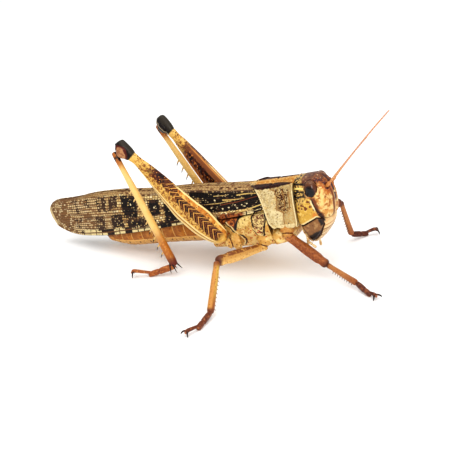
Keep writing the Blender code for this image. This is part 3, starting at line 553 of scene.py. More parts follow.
abdomen = shell("abdomen_rings", barrel(ABDOMEN, 330, 150), abdomen_relief, abdomen_marks)
belly = Finish("abdomen_cuticle", (150, 88, 24), 0.42)
belly.coat((178, 114, 42), belly.blots(1.6, 4, 0.46, 0.64))
belly.coat((142, 78, 28), belly.blots(0.8, 4, 0.58, 0.7))
belly.coat((198, 150, 84), belly.within("under", 0.1, 0.25, 0.3, 1.2))
belly.coat((166, 118, 66), belly.within("under", 0.7, 0.5, 0.4, 1.2), belly.blots(0.8, 3, 0.4, 0.6))
belly.coat((210, 160, 84), belly.line("edge", 0.13, 0.1, 0.08, 0.8))
belly.coat((214, 166, 94), belly.line("fold", 0.12, 0.08, 0.08))
belly.coat((34, 20, 16), belly.line("spiracle", 0.17, 0.06))
belly.coat((104, 52, 20), belly.pores(0.45, 0.26, 0.14))
belly.raise_by(belly.cloud(0.3, 4), 0.05)
fit(belly.on(abdomen), "abdomen_shell", "abdomen")

ABDOMEN_TIP = [(-31.72, 1.7, -3.35, -6.5), (-32.2, 1.62, -3.45, -6.38), (-32.8, 1.42, -3.65, -6.15),
               (-33.35, 1.05, -3.9, -5.75), (-33.6, 0.45, -4.2, -5.1)]
tail = shell("abdomen_end", barrel(ABDOMEN_TIP, 60, 90), lambda p: -0.05 - 0.08 * bump_up(
    abs(p[:, 2] + 4.9), 0.12), lambda p: {"seam": abs(p[:, 2] + 4.9)})
tail_coat = Finish("abdomen_end_cuticle", (188, 128, 62), 0.42)
tail_coat.coat((226, 188, 126), tail_coat.blots(0.9, 3, 0.5, 0.66))
tail_coat.coat((108, 58, 28), tail_coat.line("seam", 0.1, 0.06))
tail_coat.raise_by(tail_coat.cloud(0.25, 3), 0.03)
fit(tail_coat.on(tail), "abdomen_shell", "abdomen_tip")


def rod_rings(points, radii, around):
    """Round rings square to a chain of points, all in mm."""
    points = np.asarray(points, float)
    lead = np.gradient(points, axis=0)
    lead /= np.linalg.norm(lead, axis=1)[:, None]
    u = np.cross((0.13, 1, 0.07), lead)
    u /= np.linalg.norm(u, axis=1)[:, None]
    v = np.cross(lead, u)
    angle = circle(around)[None, :, None]
    radii = np.asarray(radii, float)[:, None, None]
    return points[:, None] + u[:, None] * radii * np.cos(angle) + v[:, None] * radii * np.sin(angle)


def rounded_rod(stops, radii, along, around):
    """A rod through a few points with rounded ends, its thickness eased from stop to stop."""
    at = np.linspace(0, 1, along)
    line = through(stops, at * (len(stops) - 1))
    size = np.interp(at * (len(radii) - 1), np.arange(len(radii)), radii)
    reach = np.linalg.norm(np.diff(line, axis=0), axis=1).sum()
    for end in (at, 1 - at):
        size = size * np.sqrt(np.clip(1 - (1 - np.clip(end * reach / size, 0, 1)) ** 2, 0.004, 1))
    return rod_rings(line, size, around)


SIDES = ((-1, "right"), (1, "left"))
for side, word in SIDES:
    tail_horn = shell("tail_horn_" + word, rounded_rod(
        [(-32.3, side * 0.9, -4.0), (-33.3, side * 1.3, -3.75), (-34.05, side * 1.35, -3.7)],
        [0.34, 0.3, 0.16], 24, 20))
    fit(tail_coat.on(tail_horn), "abdomen_shell", "abdomen_tip")

# ---------------------------------------------------------------- neck shield
# The pronotum, a saddle of thick cuticle over the neck: a low ridge along its middle, cross furrows
# on the front half, a pitted rear half with a rounded rear edge, and turned rims.
# half sections as on the thorax, then lines and outlines of the side view
SHIELD_FRONT = [(0, 0.12), (1.3, 0.05), (2.35, -0.2), (3.0, -1.4), (3.3, -3.2), (3.45, -5.0),
                (3.45, -6.6), (3.2, -7.45), (2.4, -7.6), (0, -7.6)]
SHIELD_REAR = [(0, 0.42), (1.6, 0.36), (2.75, 0.05), (3.35, -1.4), (3.8, -3.3), (3.95, -5.0),
               (3.9, -6.2), (3.6, -7.1), (2.6, -7.3), (0, -7.3)]
SHIELD_FRONT_X = [9.4, 9.5, 9.5, 9.35, 9.1, 8.9, 8.65, 8.35, 8.3, 8.3]
SHIELD_REAR_X = [0.0, 1.15, 2.25, 2.9, 3.3, 3.4, 3.45, 3.9, 3.9, 3.9]
MAIN_FURROW = [(5.1, 1.5), (5.2, -0.5), (5.9, -0.8), (6.05, -2.2), (5.6, -3.9), (6.6, -4.6),
               (6.15, -6.4), (6.0, -7.2)]
SHORT_FURROWS = [[(7.35, -0.9), (7.5, -2.2), (7.3, -3.4), (6.9, -4.1)],
                 [(8.45, -1.3), (8.35, -2.9), (8.0, -4.2)]]
HIND_PLATE = [(5.2, 2), (5.2, -0.5), (5.9, -0.8), (6.05, -2.2), (5.6, -3.9), (6.65, -4.6),
              (6.15, -6.4), (6.0, -9), (-1, -9), (-1, 2)]
BOSS = [(4.1, -3.55), (5.0, -3.6), (5.65, -3.95), (6.6, -4.6), (6.3, -5.7), (6.1, -6.6), (4.5, -6.7),
        (4.0, -5.0)]
# drawn from above, (along, across)
SIDE_STRIPE = [(1.5, 2.75), (3.7, 3.15), (5.2, 3.0), (7, 2.85), (8.9, 2.5), (9.3, 2.4), (9.3, 2.1),
               (8.9, 1.9), (6.9, 1.45), (4.9, 1.25), (3.3, 1.15), (1.6, 1.0), (0.9, 1.4)]
WORN_PATCH = [(5.6, -0.3), (8.8, -0.6), (8.3, -2.2), (7.6, -4.6), (6.6, -5.0), (5.9, -4.2), (6.1, -2.6)]


def side_view(p):
    """Across-and-down measure: how far from the middle line a place on the shield lies."""
    return np.stack([p[:, 0], abs(p[:, 1]) + 0.8 * np.maximum(0, 0.3 - p[:, 2]), p[:, 2]], 1)


def rear_rim(p):
    """Distance ahead of the rear edge of the shield."""
    z = [z for y, z in SHIELD_REAR[2:8]][::-1]
    x = SHIELD_REAR_X[2:8][::-1]
    top = np.interp(abs(p[:, 1]), [y for y, z in SHIELD_REAR[:3]], SHIELD_REAR_X[:3])
    return p[:, 0] - np.where((abs(p[:, 1]) < 2.75) & (p[:, 2] > -0.3), top, np.interp(p[:, 2], z, x))


def front_rim(p):
    """Distance behind the front edge of the shield."""
    z = [z for y, z in SHIELD_FRONT[2:8]][::-1]
    x = SHIELD_FRONT_X[2:8][::-1]
    return np.where(p[:, 2] > -0.3, 9.4, np.interp(p[:, 2], z, x)) - p[:, 0]


def shield_relief(p):
    """Cross furrows, the middle keel, the raised side boss and the turned rims."""
    on_side = 1 / (1 + np.exp((p[:, 2] + 0.2) * 4))
    out = -0.17 * bump_up(off_line(p, MAIN_FURROW), 0.17)
    out -= 0.12 * on_side * sum(bump_up(off_line(p, s), 0.16) for s in SHORT_FURROWS)
    keel = bump_up(p[:, 1], 0.28) * (p[:, 2] > -0.5)
    out += 0.2 * keel * (1 - 0.8 * bump_up(p[:, 0] - 5.2, 0.25))
    out += 0.10 * np.clip(depth_in(p, BOSS) / 0.7, 0, 1) ** 0.6
    out += 0.12 * bump_up(rear_rim(p) - 0.22, 0.2) - 0.07 * bump_up(rear_rim(p) - 0.65, 0.2)
    out += 0.10 * bump_up(front_rim(p) - 0.2, 0.16) - 0.06 * bump_up(front_rim(p) - 0.55, 0.16)
    out += 0.08 * bump_up(p[:, 2] + 7.0, 0.22)
    return out - 0.1


def shield_marks(p):
    """Side stripe, plates, furrows and rims that the finish of the shield reads."""
    over = side_view(p)
    return {"stripe": depth_in(over, SIDE_STRIPE, (0, 1)), "out": over[:, 1], "keel": abs(p[:, 1]),
            "plate": depth_in(p, HIND_PLATE), "boss": depth_in(p, BOSS), "worn": depth_in(p, WORN_PATCH),
            "furrow": np.min([off_line(p, s) for s in [MAIN_FURROW] + SHORT_FURROWS], 0),
            "rear": rear_rim(p), "front": front_rim(p), "lower": -6.7 - p[:, 2],
            "back": p[:, 0], "high": p[:, 2]}


shield_rings = []
for t in np.linspace(0, 1, 8):
    pinch = 0.12 * math.exp(-((t - 0.45) / 0.16) ** 2)
    half = []
    for k, ((yf, zf), (yr, zr)) in enumerate(zip(SHIELD_FRONT, SHIELD_REAR)):
        sag = 0.35 * math.sin(math.pi * min(1, t * 1.15)) if k >= 7 else 0.0
        half.append((SHIELD_FRONT_X[k] * (1 - t) + SHIELD_REAR_X[k] * t,
                     yf * (1 - t) + yr * t - (pinch if 0 < k < 8 else 0),
                     zf * (1 - t) + zr * t - sag))
    shield_rings.append(whole(half))
shield = shell("neck_shield", smooth_skin(shield_rings, 190, 300), shield_relief, shield_marks)
horn = Finish("neck_shield_cuticle", (192, 172, 124), 0.5, 0.12)
horn.coat((196, 166, 108), horn.blots(0.7, 4, 0.48, 0.62))
horn.coat((214, 196, 154), horn.blots(0.35, 3, 0.56, 0.66))
brown_net = horn.off(horn.cloud(0.5, 3, 1.5), 0.5)
front_half = horn.step("plate", 0.05, -0.1)
horn.coat((186, 148, 90), front_half, horn.step(brown_net, 0.07, 0.03))
horn.coat((74, 38, 22), front_half, horn.within("worn", 0.0, 0.5, 0.6, 0.8),
          horn.blots(0.36, 3, 0.45, 0.5, 1.2))
horn.coat((198, 180, 138), horn.within("plate", 0.0, 0.1), horn.blots(0.5, 3, 0.42, 0.58))
horn.coat((166, 142, 98), horn.within("plate", 0.0, 0.1), horn.blots(0.3, 4, 0.53, 0.6, 0.5))
horn.coat((210, 193, 148), horn.within("boss", 0.05, 0.3, 0.3), horn.blots(0.4, 3, 0.44, 0.52))
pits = horn.every(horn.within("plate", 0.05, 0.1), horn.pores(0.36, 0.26, 0.16),
                  horn.blots(0.9, 2, 0.4, 0.52))
horn.coat((112, 66, 36), pits)
horn.coat((60, 26, 20), horn.pores(0.95, 0.18, 0.1), horn.blots(1.3, 2, 0.4, 0.5))
horn.coat((150, 108, 60), horn.line("furrow", 0.1, 0.08, 0.1))
back = horn.step("out", 2.62, 2.38, 0.15, 0.5)
horn.coat((184, 126, 58), back)
horn.coat((214, 170, 98), back, horn.blots(0.5, 4, 0.48, 0.6))
horn.coat((124, 72, 34), back, horn.pores(0.4, 0.26, 0.14), horn.blots(0.8, 2, 0.45, 0.55))
rear_apex = horn.every(back, horn.step("back", 2.0, 1.0, 0.5, 0.7))
horn.coat((196, 168, 118), rear_apex)
horn.coat((90, 66, 46), rear_apex, horn.blots(0.3, 3, 0.52, 0.6))
stripe = horn.within("stripe", 0.0, 0.12, 0.22, 0.7)
horn.coat((30, 10, 9), stripe, horn.step("back", 9.5, 8.6, 0.7, 0.6))
horn.coat((62, 26, 15), stripe, horn.blots(0.45, 3, 0.46, 0.54, 1.0))
horn.coat((206, 160, 92), horn.line("keel", 0.14, 0.08), horn.step("high", -0.5, 0.0))
horn.coat((226, 208, 160), horn.line("rear", 0.28, 0.12, 0.06), horn.step("high", 0.4, -0.6))
horn.coat((104, 34, 22), horn.line("rear", 0.3, 0.08), horn.pores(0.55, 0.26, 0.16))
horn.coat((236, 218, 170), horn.line("front", 0.17, 0.1, 0.05), horn.step("high", -0.8, -1.5))
horn.coat((222, 202, 152), horn.within("lower", 0.05, 0.12, 0.08), horn.blots(0.5, 3, 0.36, 0.5))
horn.raise_by(pits, -0.06).raise_by(horn.cloud(0.2, 4), 0.06)
horn.raise_by(horn.every(front_half, horn.step(brown_net, 0.075, 0.03)), -0.03)
horn.dry(horn.cloud(0.8), 0.34, 0.52)
fit(horn.on(shield), "pronotum_shell", "pronotum")

# ---------------------------------------------------------------- head capsule
# A hard upright box of shell plates: the capsule with its face ridge and cheek seams, the front lip
# with its flap, two jaws and the under-lip. Each plate is cut from one skull form and rolled in at
# its edge, which is how the real plates meet.
# height, front, widest place, rear and half width, mm
SKULL = [(0.33, 12.8, 11.9, 10.2, 0.6), (0.2, 13.5, 11.8, 9.4, 1.4), (-0.2, 14.1, 11.7, 9.0, 2.15),
         (-0.95, 14.7, 11.6, 8.8, 2.6), (-2.0, 15.15, 11.5, 8.6, 2.95), (-3.5, 15.3, 11.4, 8.4, 3.2),
         (-5.0, 15.1, 11.3, 8.15, 3.38), (-6.3, 14.75, 11.2, 8.0, 3.42), (-7.5, 14.15, 11.0, 8.0, 3.3),
         (-8.5, 13.65, 10.8, 8.0, 3.05), (-9.5, 12.87, 10.4, 8.1, 2.65), (-10.5, 11.75, 9.9, 8.5, 2.2),
         (-11.1, 10.85, 9.6, 8.7, 1.8), (-11.5, 9.9, 9.3, 8.8, 1.2)]
# plate outlines in the side view, a seam apart, then the seams and ridges on them
CAPSULE = [(5, 3), (18, 3), (18, -7.75), (14.2, -7.35), (13.1, -6.75), (12.35, -6.35),
           (10.7, -6.95), (9.4, -7.45), (5, -7.55)]
LIP = [(18, -7.9), (14.2, -7.5), (13.15, -6.92), (13.05, -8.05), (11.55, -10.0), (10.35, -10.85),
       (9.45, -11.15), (9.45, -13), (18, -13)]
JAW = [(13.0, -6.87), (12.35, -6.5), (10.7, -7.1), (9.4, -7.6), (8.75, -7.68), (9.0, -9.5),
       (9.35, -11.0), (10.25, -10.72), (11.42, -9.9), (12.92, -8.0)]
UNDERLIP = [(8.6, -7.7), (5, -7.7), (5, -13), (9.2, -13), (9.2, -11.2), (8.85, -9.5)]
EYE = (12.45, 2.22, -1.7)
EYE_LEAN = math.radians(12)
CHEEK_RIDGE = [(14.35, -2.1), (14.05, -3.6), (13.75, -5.0), (13.45, -6.1)]
CHEEK_SEAM = [(12.35, -3.1), (12.5, -4.2), (12.75, -5.3), (12.95, -6.3), (13.2, -6.9)]
BROW_SEAM = [(13.35, -6.25), (13.75, -6.75), (14.25, -7.0), (14.6, -7.1)]
SOCKET = (15.05, 1.0, -1.75)


def skull_rings(along, around):
    """The whole head form as dense rings; levels are spaced by the length of the outline."""
    rows = through(SKULL, np.linspace(0, len(SKULL) - 1, 700))
    reach = np.concatenate(([0], np.cumsum(np.linalg.norm(np.diff(rows, axis=0)[:, [0, 1, 4]], axis=1)
                                           + abs(np.diff(rows[:, 0])))))
    rows = np.stack([np.interp(np.linspace(0, reach[-1], along), reach, rows[:, k]) for k in range(5)], 1)
    angle = circle(around * 8)
    cf, sf = squared(angle, 2.35)
    cb, sb = squared(angle, 3.4)
    ahead = np.cos(angle) > 0
    c, s = np.where(ahead, cf, cb), np.where(ahead, sf, sb)
    grid = []
    for z, front, wide, rear, half in rows:
        ring = np.stack([wide + np.where(ahead, front - wide, wide - rear) * c, half * s,
                         np.full(len(s), z)], 1)
        pick = spaced(np.linalg.norm(np.roll(ring, -1, 0) - ring, axis=1), around)
        loop = np.concatenate([ring, ring[:1]])
        low = np.floor(pick).astype(int)
        grid.append(loop[low] + (loop[low + 1] - loop[low]) * (pick - low)[:, None])
    return np.array(grid)


def eye_reach(p):
    """1 on the surface of the eyeball, growing outwards."""
    c, s = math.cos(EYE_LEAN), math.sin(EYE_LEAN)
    x, y, z = p[:, 0] - EYE[0], abs(p[:, 1]) - EYE[1], p[:, 2] - EYE[2]
    return np.sqrt(((x * c - z * s) / 1.13) ** 2 + (y / 0.95) ** 2 + ((x * s + z * c) / 1.55) ** 2)


def face_ridge(p):
    """Half width of the raised strip down the middle of the face."""
    return np.interp(p[:, 2], [-7.5, -5.0, -3.3, -2.0, -0.8, 0.0], [1.0, 0.8, 0.72, 0.95, 1.1, 0.8])


def from_spot(p, x, y, z):
    """Distance to a spot that is there on both sides of the head."""
    return np.linalg.norm(np.stack([p[:, 0] - x, abs(p[:, 1]) - y, p[:, 2] - z], 1), axis=1)


def skull_relief(p):
    """Rolled plate edges, the face strip, cheek ridge and seams, rims of eye and socket, small eyes."""
    edge = np.maximum.reduce([np.minimum(depth_in(p, s), 1.0) for s in (CAPSULE, LIP, JAW, UNDERLIP)])
    out = -0.2 * (1 - np.clip(edge / 0.42, 0, 1) ** 0.5)
    front = np.clip((p[:, 0] - 13.2) / 0.6, 0, 1) * np.clip((p[:, 2] + 7.4) / 0.5, 0, 1)
    strip = 1 / (1 + np.exp((abs(p[:, 1]) - face_ridge(p)) / 0.07))
    out += front * (0.14 * strip - 0.12 * bump_up(p[:, 1], 0.36) * np.clip((-1.6 - p[:, 2]) / 0.8, 0, 1))
    out += 0.07 * bump_up(off_line(p, CHEEK_RIDGE), 0.24) - 0.13 * bump_up(off_line(p, CHEEK_SEAM), 0.14)
    out -= 0.06 * bump_up(off_line(p, BROW_SEAM), 0.14)
    around_eye = eye_reach(p)
    out += 0.07 * bump_up(around_eye - 1.17, 0.08) - 0.1 * bump_up(around_eye - 1.0, 0.09)
    from_socket = from_spot(p, SOCKET[0] + 0.1, SOCKET[1] + 0.15, SOCKET[2])
    out += 0.12 * bump_up(from_socket - 0.62, 0.12) - 0.16 * np.clip(1 - from_socket / 0.5, 0, 1) ** 0.5
    out += 0.07 * bump_up(off_line(p, [(12.9, -7.0), (11.9, -6.72), (10.7, -7.3), (9.2, -7.8)]), 0.16) * (
        p[:, 2] > -7.6)
    out += 0.05 * bump_up(p[:, 1], 0.18) * (p[:, 2] > -0.6) * (p[:, 0] < 13.4)
    for small_eye in ((14.75, 1.75, -1.0), (15.3, 0, -3.3)):
        out += 0.09 * np.exp(-(from_spot(p, *small_eye) / 0.2) ** 4)
    return out - 0.05


HIND_HEAD = [(7, -4.3), (10.8, -3.6), (11.3, -2.8), (11.4, -1.6), (11.2, -0.6), (10.9, 0.1),
             (10.9, 1), (7, 1)]
CHEEK = [(7, -3.2), (11.0, -3.0), (11.9, -2.9), (12.25, -3.2), (12.45, -4.6), (12.85, -6.2), (12.2, -7.2),
         (7, -8.0)]
CHEEK_PATCH = [(12.0, -3.3), (12.4, -3.3), (12.55, -4.3), (12.7, -5.1), (12.45, -5.2), (12.2, -4.3)]
CHEEK_CORNER = [(12.85, -6.7), (11.2, -7.3), (11.9, -5.6), (12.5, -5.3)]
SEAM_BAND = [(12.35, -2.9), (12.95, -3.1), (13.15, -4.2), (13.2, -5.3), (13.6, -6.0), (13.5, -6.9),
             (12.9, -6.9), (12.75, -5.6), (12.45, -4.2)]
EYE_STREAKS = [[(8.3, -0.45), (10.4, -0.5), (11.4, -0.6)], [(8.3, -1.75), (10.5, -1.65), (11.3, -1.75)],
               [(8.4, -2.5), (10.6, -2.45), (11.4, -2.6)]]
PALE_STREAK = [(8.3, -1.15), (10.4, -1.1), (11.4, -1.25)]
TEMPLE = [(13.3, -0.2), (14.3, -0.7), (14.9, -1.5), (15.0, -2.2)]


def skull_marks(p):
    """Patches, streaks, seams and rims that the finishes of the head plates read."""
    side = abs(p[:, 1])
    small_eyes = [from_spot(p, *spot) for spot in ((14.75, 1.75, -1.0), (15.35, 0.0, -3.3))]
    marks = {name: depth_in(p, outline) for name, outline in (
        ("behind_eye", HIND_HEAD), ("cheek", CHEEK), ("patch", CHEEK_PATCH), ("corner", CHEEK_CORNER),
        ("band", SEAM_BAND))}
    marks.update({name: off_line(p, line) for name, line in (
        ("pale", PALE_STREAK), ("seam", CHEEK_SEAM), ("temple", TEMPLE), ("ridge", CHEEK_RIDGE),
        ("cheek_rim", CAPSULE))})
    marks.update(side=side, high=p[:, 2], ahead=p[:, 0], eye=eye_reach(p), socket=from_spot(p, *SOCKET),
                 ocellus=np.min(small_eyes, 0), strip=abs(side - face_ridge(p)),
                 streak=np.min([off_line(p, s) for s in EYE_STREAKS], 0), jaw_rim=abs(depth_in(p, JAW)))
    return marks


def skull_plate(name, outline, low=-6.0, high=6.0, along=150, around=230):
    """One plate cut out of the skull form by its outline in the side view."""
    whole_head = shell(name + "_form", skull_rings(along, around), skull_relief)
    n = len(outline)
    block = cast(name + "_block", np.array([(x, y, z) for y in (low, high) for x, z in outline], float),
                 [list(range(n)), list(range(2 * n - 1, n - 1, -1))]
                 + [[k, (k + 1) % n, n + (k + 1) % n, n + k] for k in range(n)])
    cut = whole_head.modifiers.new("cut", "BOOLEAN")
    cut.object, cut.operation, cut.solver = block, "INTERSECT", "EXACT"
    mesh = bpy.data.meshes.new_from_object(whole_head.evaluated_get(bpy.context.evaluated_depsgraph_get()))
    for spare in (whole_head, block):
        bpy.data.objects.remove(spare)
    plate = bpy.data.objects.new(name, mesh)
    bpy.context.scene.collection.objects.link(plate)
    return restate(plate, skull_marks)


def restate(plate, marks):
    """Works the painted fields out again from where the points now lie."""
    mesh = plate.data
    spots = np.empty(len(mesh.vertices) * 3)
    mesh.vertices.foreach_get("co", spots)
    q = spots.reshape(-1, 3) / MM - TIP_OF_SHIELD
    c, s = math.cos(PITCH), math.sin(PITCH)
    p = np.stack([c * q[:, 0] + s * q[:, 2], q[:, 1], -s * q[:, 0] + c * q[:, 2]], 1)
    for old in [a.name for a in mesh.attributes if a.data_type in ("FLOAT", "FLOAT_VECTOR")
                and a.name != "position"]:
        mesh.attributes.remove(mesh.attributes[old])
    keep_fields(mesh, p, marks)
    mesh.polygons.foreach_set("use_smooth", [True] * len(mesh.polygons))
    return plate


skin = Finish("head_cuticle", (196, 140, 72), 0.34)
skin.coat((220, 190, 126), skin.blots(0.9, 4, 0.43, 0.55))
skin.coat((166, 104, 46), skin.blots(0.7, 4, 0.53, 0.63))
on_top = skin.step("high", -1.15, -0.6, 0.35, 0.8)
skin.coat((172, 96, 34), skin.step("socket", 2.3, 1.0), skin.blots(0.6, 4, 0.38, 0.48))
cheek = skin.within("cheek", 0.0, 0.15)
skin.coat((196, 154, 62), cheek)
skin.coat((220, 184, 98), cheek, skin.blots(0.6, 4, 0.48, 0.62))
skin.coat((110, 58, 22), cheek, skin.step(skin.dots(0.52), 0.46, 0.38, 0.14, 0.25),
          skin.step("high", -6.2, -5.0, 0.9, 0.9))
skin.coat((196, 118, 44), skin.within("corner", 0.0, 0.4, 0.3, 0.7), skin.blots(0.5, 3, 0.34, 0.54))
skin.coat((110, 70, 46), on_top)
skin.coat((84, 44, 30), on_top, skin.blots(0.45, 4, 0.46, 0.56))
skin.coat((188, 150, 108), on_top, skin.blots(0.5, 3, 0.6, 0.68, 0.8))
skin.coat((70, 30, 30), skin.line("temple", 0.2, 0.1, 0.14, 0.7))
hind = skin.within("behind_eye", 0.0, 0.2, 0.3, 0.7)
skin.coat((196, 158, 84), hind)
skin.coat((34, 20, 14), hind, skin.step(skin.off(skin.cloud(0.75, 1, 0.8), 0.5), 0.07, 0.05))
skin.coat((24, 14, 12), skin.line("streak", 0.15, 0.08, 0.16, 0.7))
skin.coat((232, 206, 120), skin.line("pale", 0.13, 0.07, 0.1, 0.7))
skin.coat((112, 58, 26), skin.within("band", -0.05, 0.2, 0.25, 0.6))
skin.coat((44, 20, 14), skin.within("band", 0.1, 0.15, 0.2, 0.5), skin.step("high", -4.2, -5.6))
skin.coat((148, 84, 36), skin.blots(0.36, 4, 0.53, 0.6), skin.step("high", -5.6, -3.6),
          skin.step("ahead", 12.9, 13.5))
skin.coat((232, 212, 160), skin.within("patch", 0.0, 0.12, 0.14, 0.5))
skin.coat((48, 22, 14), skin.line("seam", 0.14, 0.08, 0.08, 0.5))
# Lighter line along the upper cheek ridge: a painted highlight on the ridge.
skin.coat((228, 190, 120), skin.line("ridge", 0.2, 0.2, 0.16, 0.7), skin.step("high", -5.6, -4.4))
skin.coat((64, 36, 22), skin.line("eye", 1.16, 0.03), skin.blots(0.5, 2, 0.44, 0.5))
mid_face = skin.every(skin.step("ahead", 13.8, 14.3), skin.step("side", 1.2, 0.9))
# Darker line along the edges of the raised face strip: painted shade where the strip drops to the face.
skin.coat((112, 60, 34), mid_face, skin.line("strip", 0.18, 0.12, 0.14, 0.6),
          skin.step("high", -0.7, -1.2))
skin.coat((70, 36, 34), mid_face, skin.step("side", 0.4, 0.2, 0.14, 0.5), skin.step("high", -5.6, -4.2))
skin.coat((234, 196, 130), skin.line("ocellus", 0.2, 0.04))
skin.coat((238, 216, 160), skin.line("cheek_rim", 0.24, 0.1), cheek)
skin.coat((178, 104, 48), skin.pores(0.4, 0.22, 0.1), skin.blots(0.7, 2, 0.48, 0.58))
skin.raise_by(skin.pores(0.26, 0.0, 0.3), 0.03).raise_by(skin.cloud(0.2, 4), 0.04)
skin.dry(skin.cloud(0.7), 0.28, 0.46)
head = skull_plate("head_capsule", CAPSULE, along=190, around=250)
fit(skin.on(head), "head_shell", "head")

lip = Finish("lip_cuticle", (220, 188, 138), 0.36)
lip.coat((212, 166, 112), lip.blots(0.8, 4, 0.48, 0.64))
lip.coat((186, 132, 84), lip.step(lip.off(lip.ragged("high", 0.06, 0.8), -8.3), 0.14, 0.05))
flap = lip.step("high", -8.9, -9.15, 0.08, 0.8)
lip.coat((184, 148, 104), flap)
lip.coat((222, 196, 156), flap, lip.blots(0.5, 3, 0.46, 0.6))
lip.coat((120, 72, 42), lip.step(lip.off("high", -8.98), 0.12, 0.04))
lip.coat((40, 22, 16), lip.step("side", 2.2, 2.5), lip.step("high", -7.7, -7.3, 0.3, 0.6))
lip.coat((138, 90, 52), lip.pores(0.5, 0.16, 0.08))
lip.raise_by(lip.cloud(0.22, 4), 0.04)
fit(lip.on(skull_plate("front_lip", LIP, along=130, around=200)), "mouth_shell", "clypeolabrum")

jaw = Finish("jaw_cuticle", (132, 90, 50), 0.3)
jaw.coat((162, 122, 76), jaw.blots(0.8, 4, 0.5, 0.64))
jaw.coat((112, 70, 38), jaw.blots(0.5, 4, 0.56, 0.66))
tooth = jaw.calc("MULTIPLY_ADD", "ahead", -0.35, "high")
jaw.coat((22, 12, 11), jaw.step(tooth, -12.9, -13.3, 0.3, 0.8))
jaw.coat((30, 16, 12), jaw.step("ahead", 12.35, 12.6, 0.12, 0.6), jaw.step("high", -8.4, -7.9))
jaw.coat((60, 32, 20), jaw.step("jaw_rim", 0.16, 0.06))
jaw.raise_by(jaw.cloud(0.25, 4), 0.04)
fit(jaw.on(skull_plate("jaw_right", JAW, -6.0, -0.05, 120, 180)), "mouth_shell", "mandible_right")
fit(jaw.on(skull_plate("jaw_left", JAW, 0.05, 6.0, 120, 180)), "mouth_shell", "mandible_left")

chin = Finish("under_lip_cuticle", (214, 180, 124), 0.4)
chin.coat((160, 106, 62), chin.blots(0.8, 3, 0.5, 0.64))
chin.raise_by(chin.cloud(0.25, 3), 0.03)
fit(chin.on(skull_plate("under_lip", UNDERLIP, along=110, around=170)), "mouth_shell", "labium")

# ---------------------------------------------------------------- feelers of the mouth
# Four jointed rods of thin pale cuticle that hang from under the jaws, each joint swollen at its
# far end and dark at the tip.
PALPS = {"jaw_feeler_right": [(8.5, -1.5, -9.3), (8.75, -1.95, -10.9), (9.2, -1.95, -11.5),
                              (9.75, -1.9, -12.2)],
         "jaw_feeler_left": [(8.5, 1.5, -9.3), (8.7, 1.85, -10.9), (8.95, 1.45, -12.1),
                             (8.9, 1.25, -13.2)],
         "lip_feeler_right": [(8.45, -0.8, -10.2), (8.0, -1.0, -11.2), (7.75, -1.0, -12.1)],
         "lip_feeler_left": [(8.45, 0.8, -10.2), (8.0, 1.0, -11.2), (7.75, 1.0, -12.1)]}


def round_each(values, around, ends=(0, 1)):
    """A value of each ring for all its points, then the values of the two ends."""
    return np.append(np.repeat(values, around), ends)


palp_skin = Finish("mouth_feeler_cuticle", (228, 200, 150), 0.38)
palp_skin.coat((112, 66, 38), palp_skin.step("joint", 0.84, 0.94, 0.06, 0.5))
palp_skin.coat((198, 154, 100), palp_skin.blots(0.5, 2, 0.52, 0.64))
palp_skin.raise_by(palp_skin.cloud(0.2, 2), 0.02)
for name, stops in PALPS.items():
    at = np.linspace(0, len(stops) - 1, 90)
    share = np.mod(at, 1.0)
    share[-1] = 1.0
    size = 0.17 + 0.08 * share - 0.06 * bump_up(share, 0.08) - 0.08 * bump_up(share - 1, 0.06)
    tip = np.clip((len(stops) - 1 - at) * 3.4, 0, 1)
    size *= np.sqrt(1 - (1 - tip) ** 2 * 0.96)
    line = np.stack([np.interp(at, np.arange(len(stops)), np.array(stops)[:, k]) for k in range(3)], 1)
    line = 0.5 * line + 0.5 * through(stops, at)
    palp = shell(name, rod_rings(line, size, 22), more={"joint": round_each(share, 22)})
    fit(palp_skin.on(palp), "mouth_shell", "labium")

# ---------------------------------------------------------------- eyes
# Two oval compound eyes, each a glassy dome of thousands of lenses over dark pigment: nearly black
# in the middle, with a brown cap at the top and a brown rim.
glass = Finish("eye_lens", (86, 46, 26), 0.1, 0.36)
pupil = glass.ragged("middle", 0.06, 0.6)
glass.coat((34, 14, 10), glass.step(pupil, 0.94, 0.76))
glass.coat((8, 3, 4), glass.step(pupil, 0.74, 0.58))
glass.coat((96, 60, 36), glass.step("top", 0.75, 1.35, 0.12, 0.5))
glass.coat((122, 82, 52), glass.step("top", 1.0, 1.5), glass.blots(0.3, 2, 0.45, 0.6))
glass.raise_by(glass.pores(0.09, 0.0, 0.5), 0.002)
for side, word in SIDES:
    turn = np.linspace(0, math.pi, 120)[:, None]
    round_it = circle(180)[None, :]
    ball = np.stack([np.sin(turn) * np.cos(round_it) * 1.16, np.sin(turn) * np.sin(round_it) * 0.98,
                     np.cos(turn) * 1.66 - 0.06 + 0 * round_it], 2).reshape(-1, 3)
    c, s = math.cos(EYE_LEAN), math.sin(EYE_LEAN)
    leaned = np.stack([c * ball[:, 0] + s * ball[:, 2], ball[:, 1], c * ball[:, 2] - s * ball[:, 0]], 1)
    leaned += (EYE[0], side * EYE[1], EYE[2])
    grid = leaned.reshape(120, 180, 3)[1:-1]
    kept = ball.reshape(120, 180, 3)[1:-1]
    top = np.append(kept[..., 2].ravel(), [1.57, -1.57])
    middle = np.append(np.hypot(kept[..., 0] - 0.05, (kept[..., 2] + 0.2) / 1.35).ravel(), [1.2, 1.2])
    eye = shell("eye_dome_" + word, grid, more={"top": top, "middle": middle})
    fit(glass.on(eye), "eye", "eye_" + word)

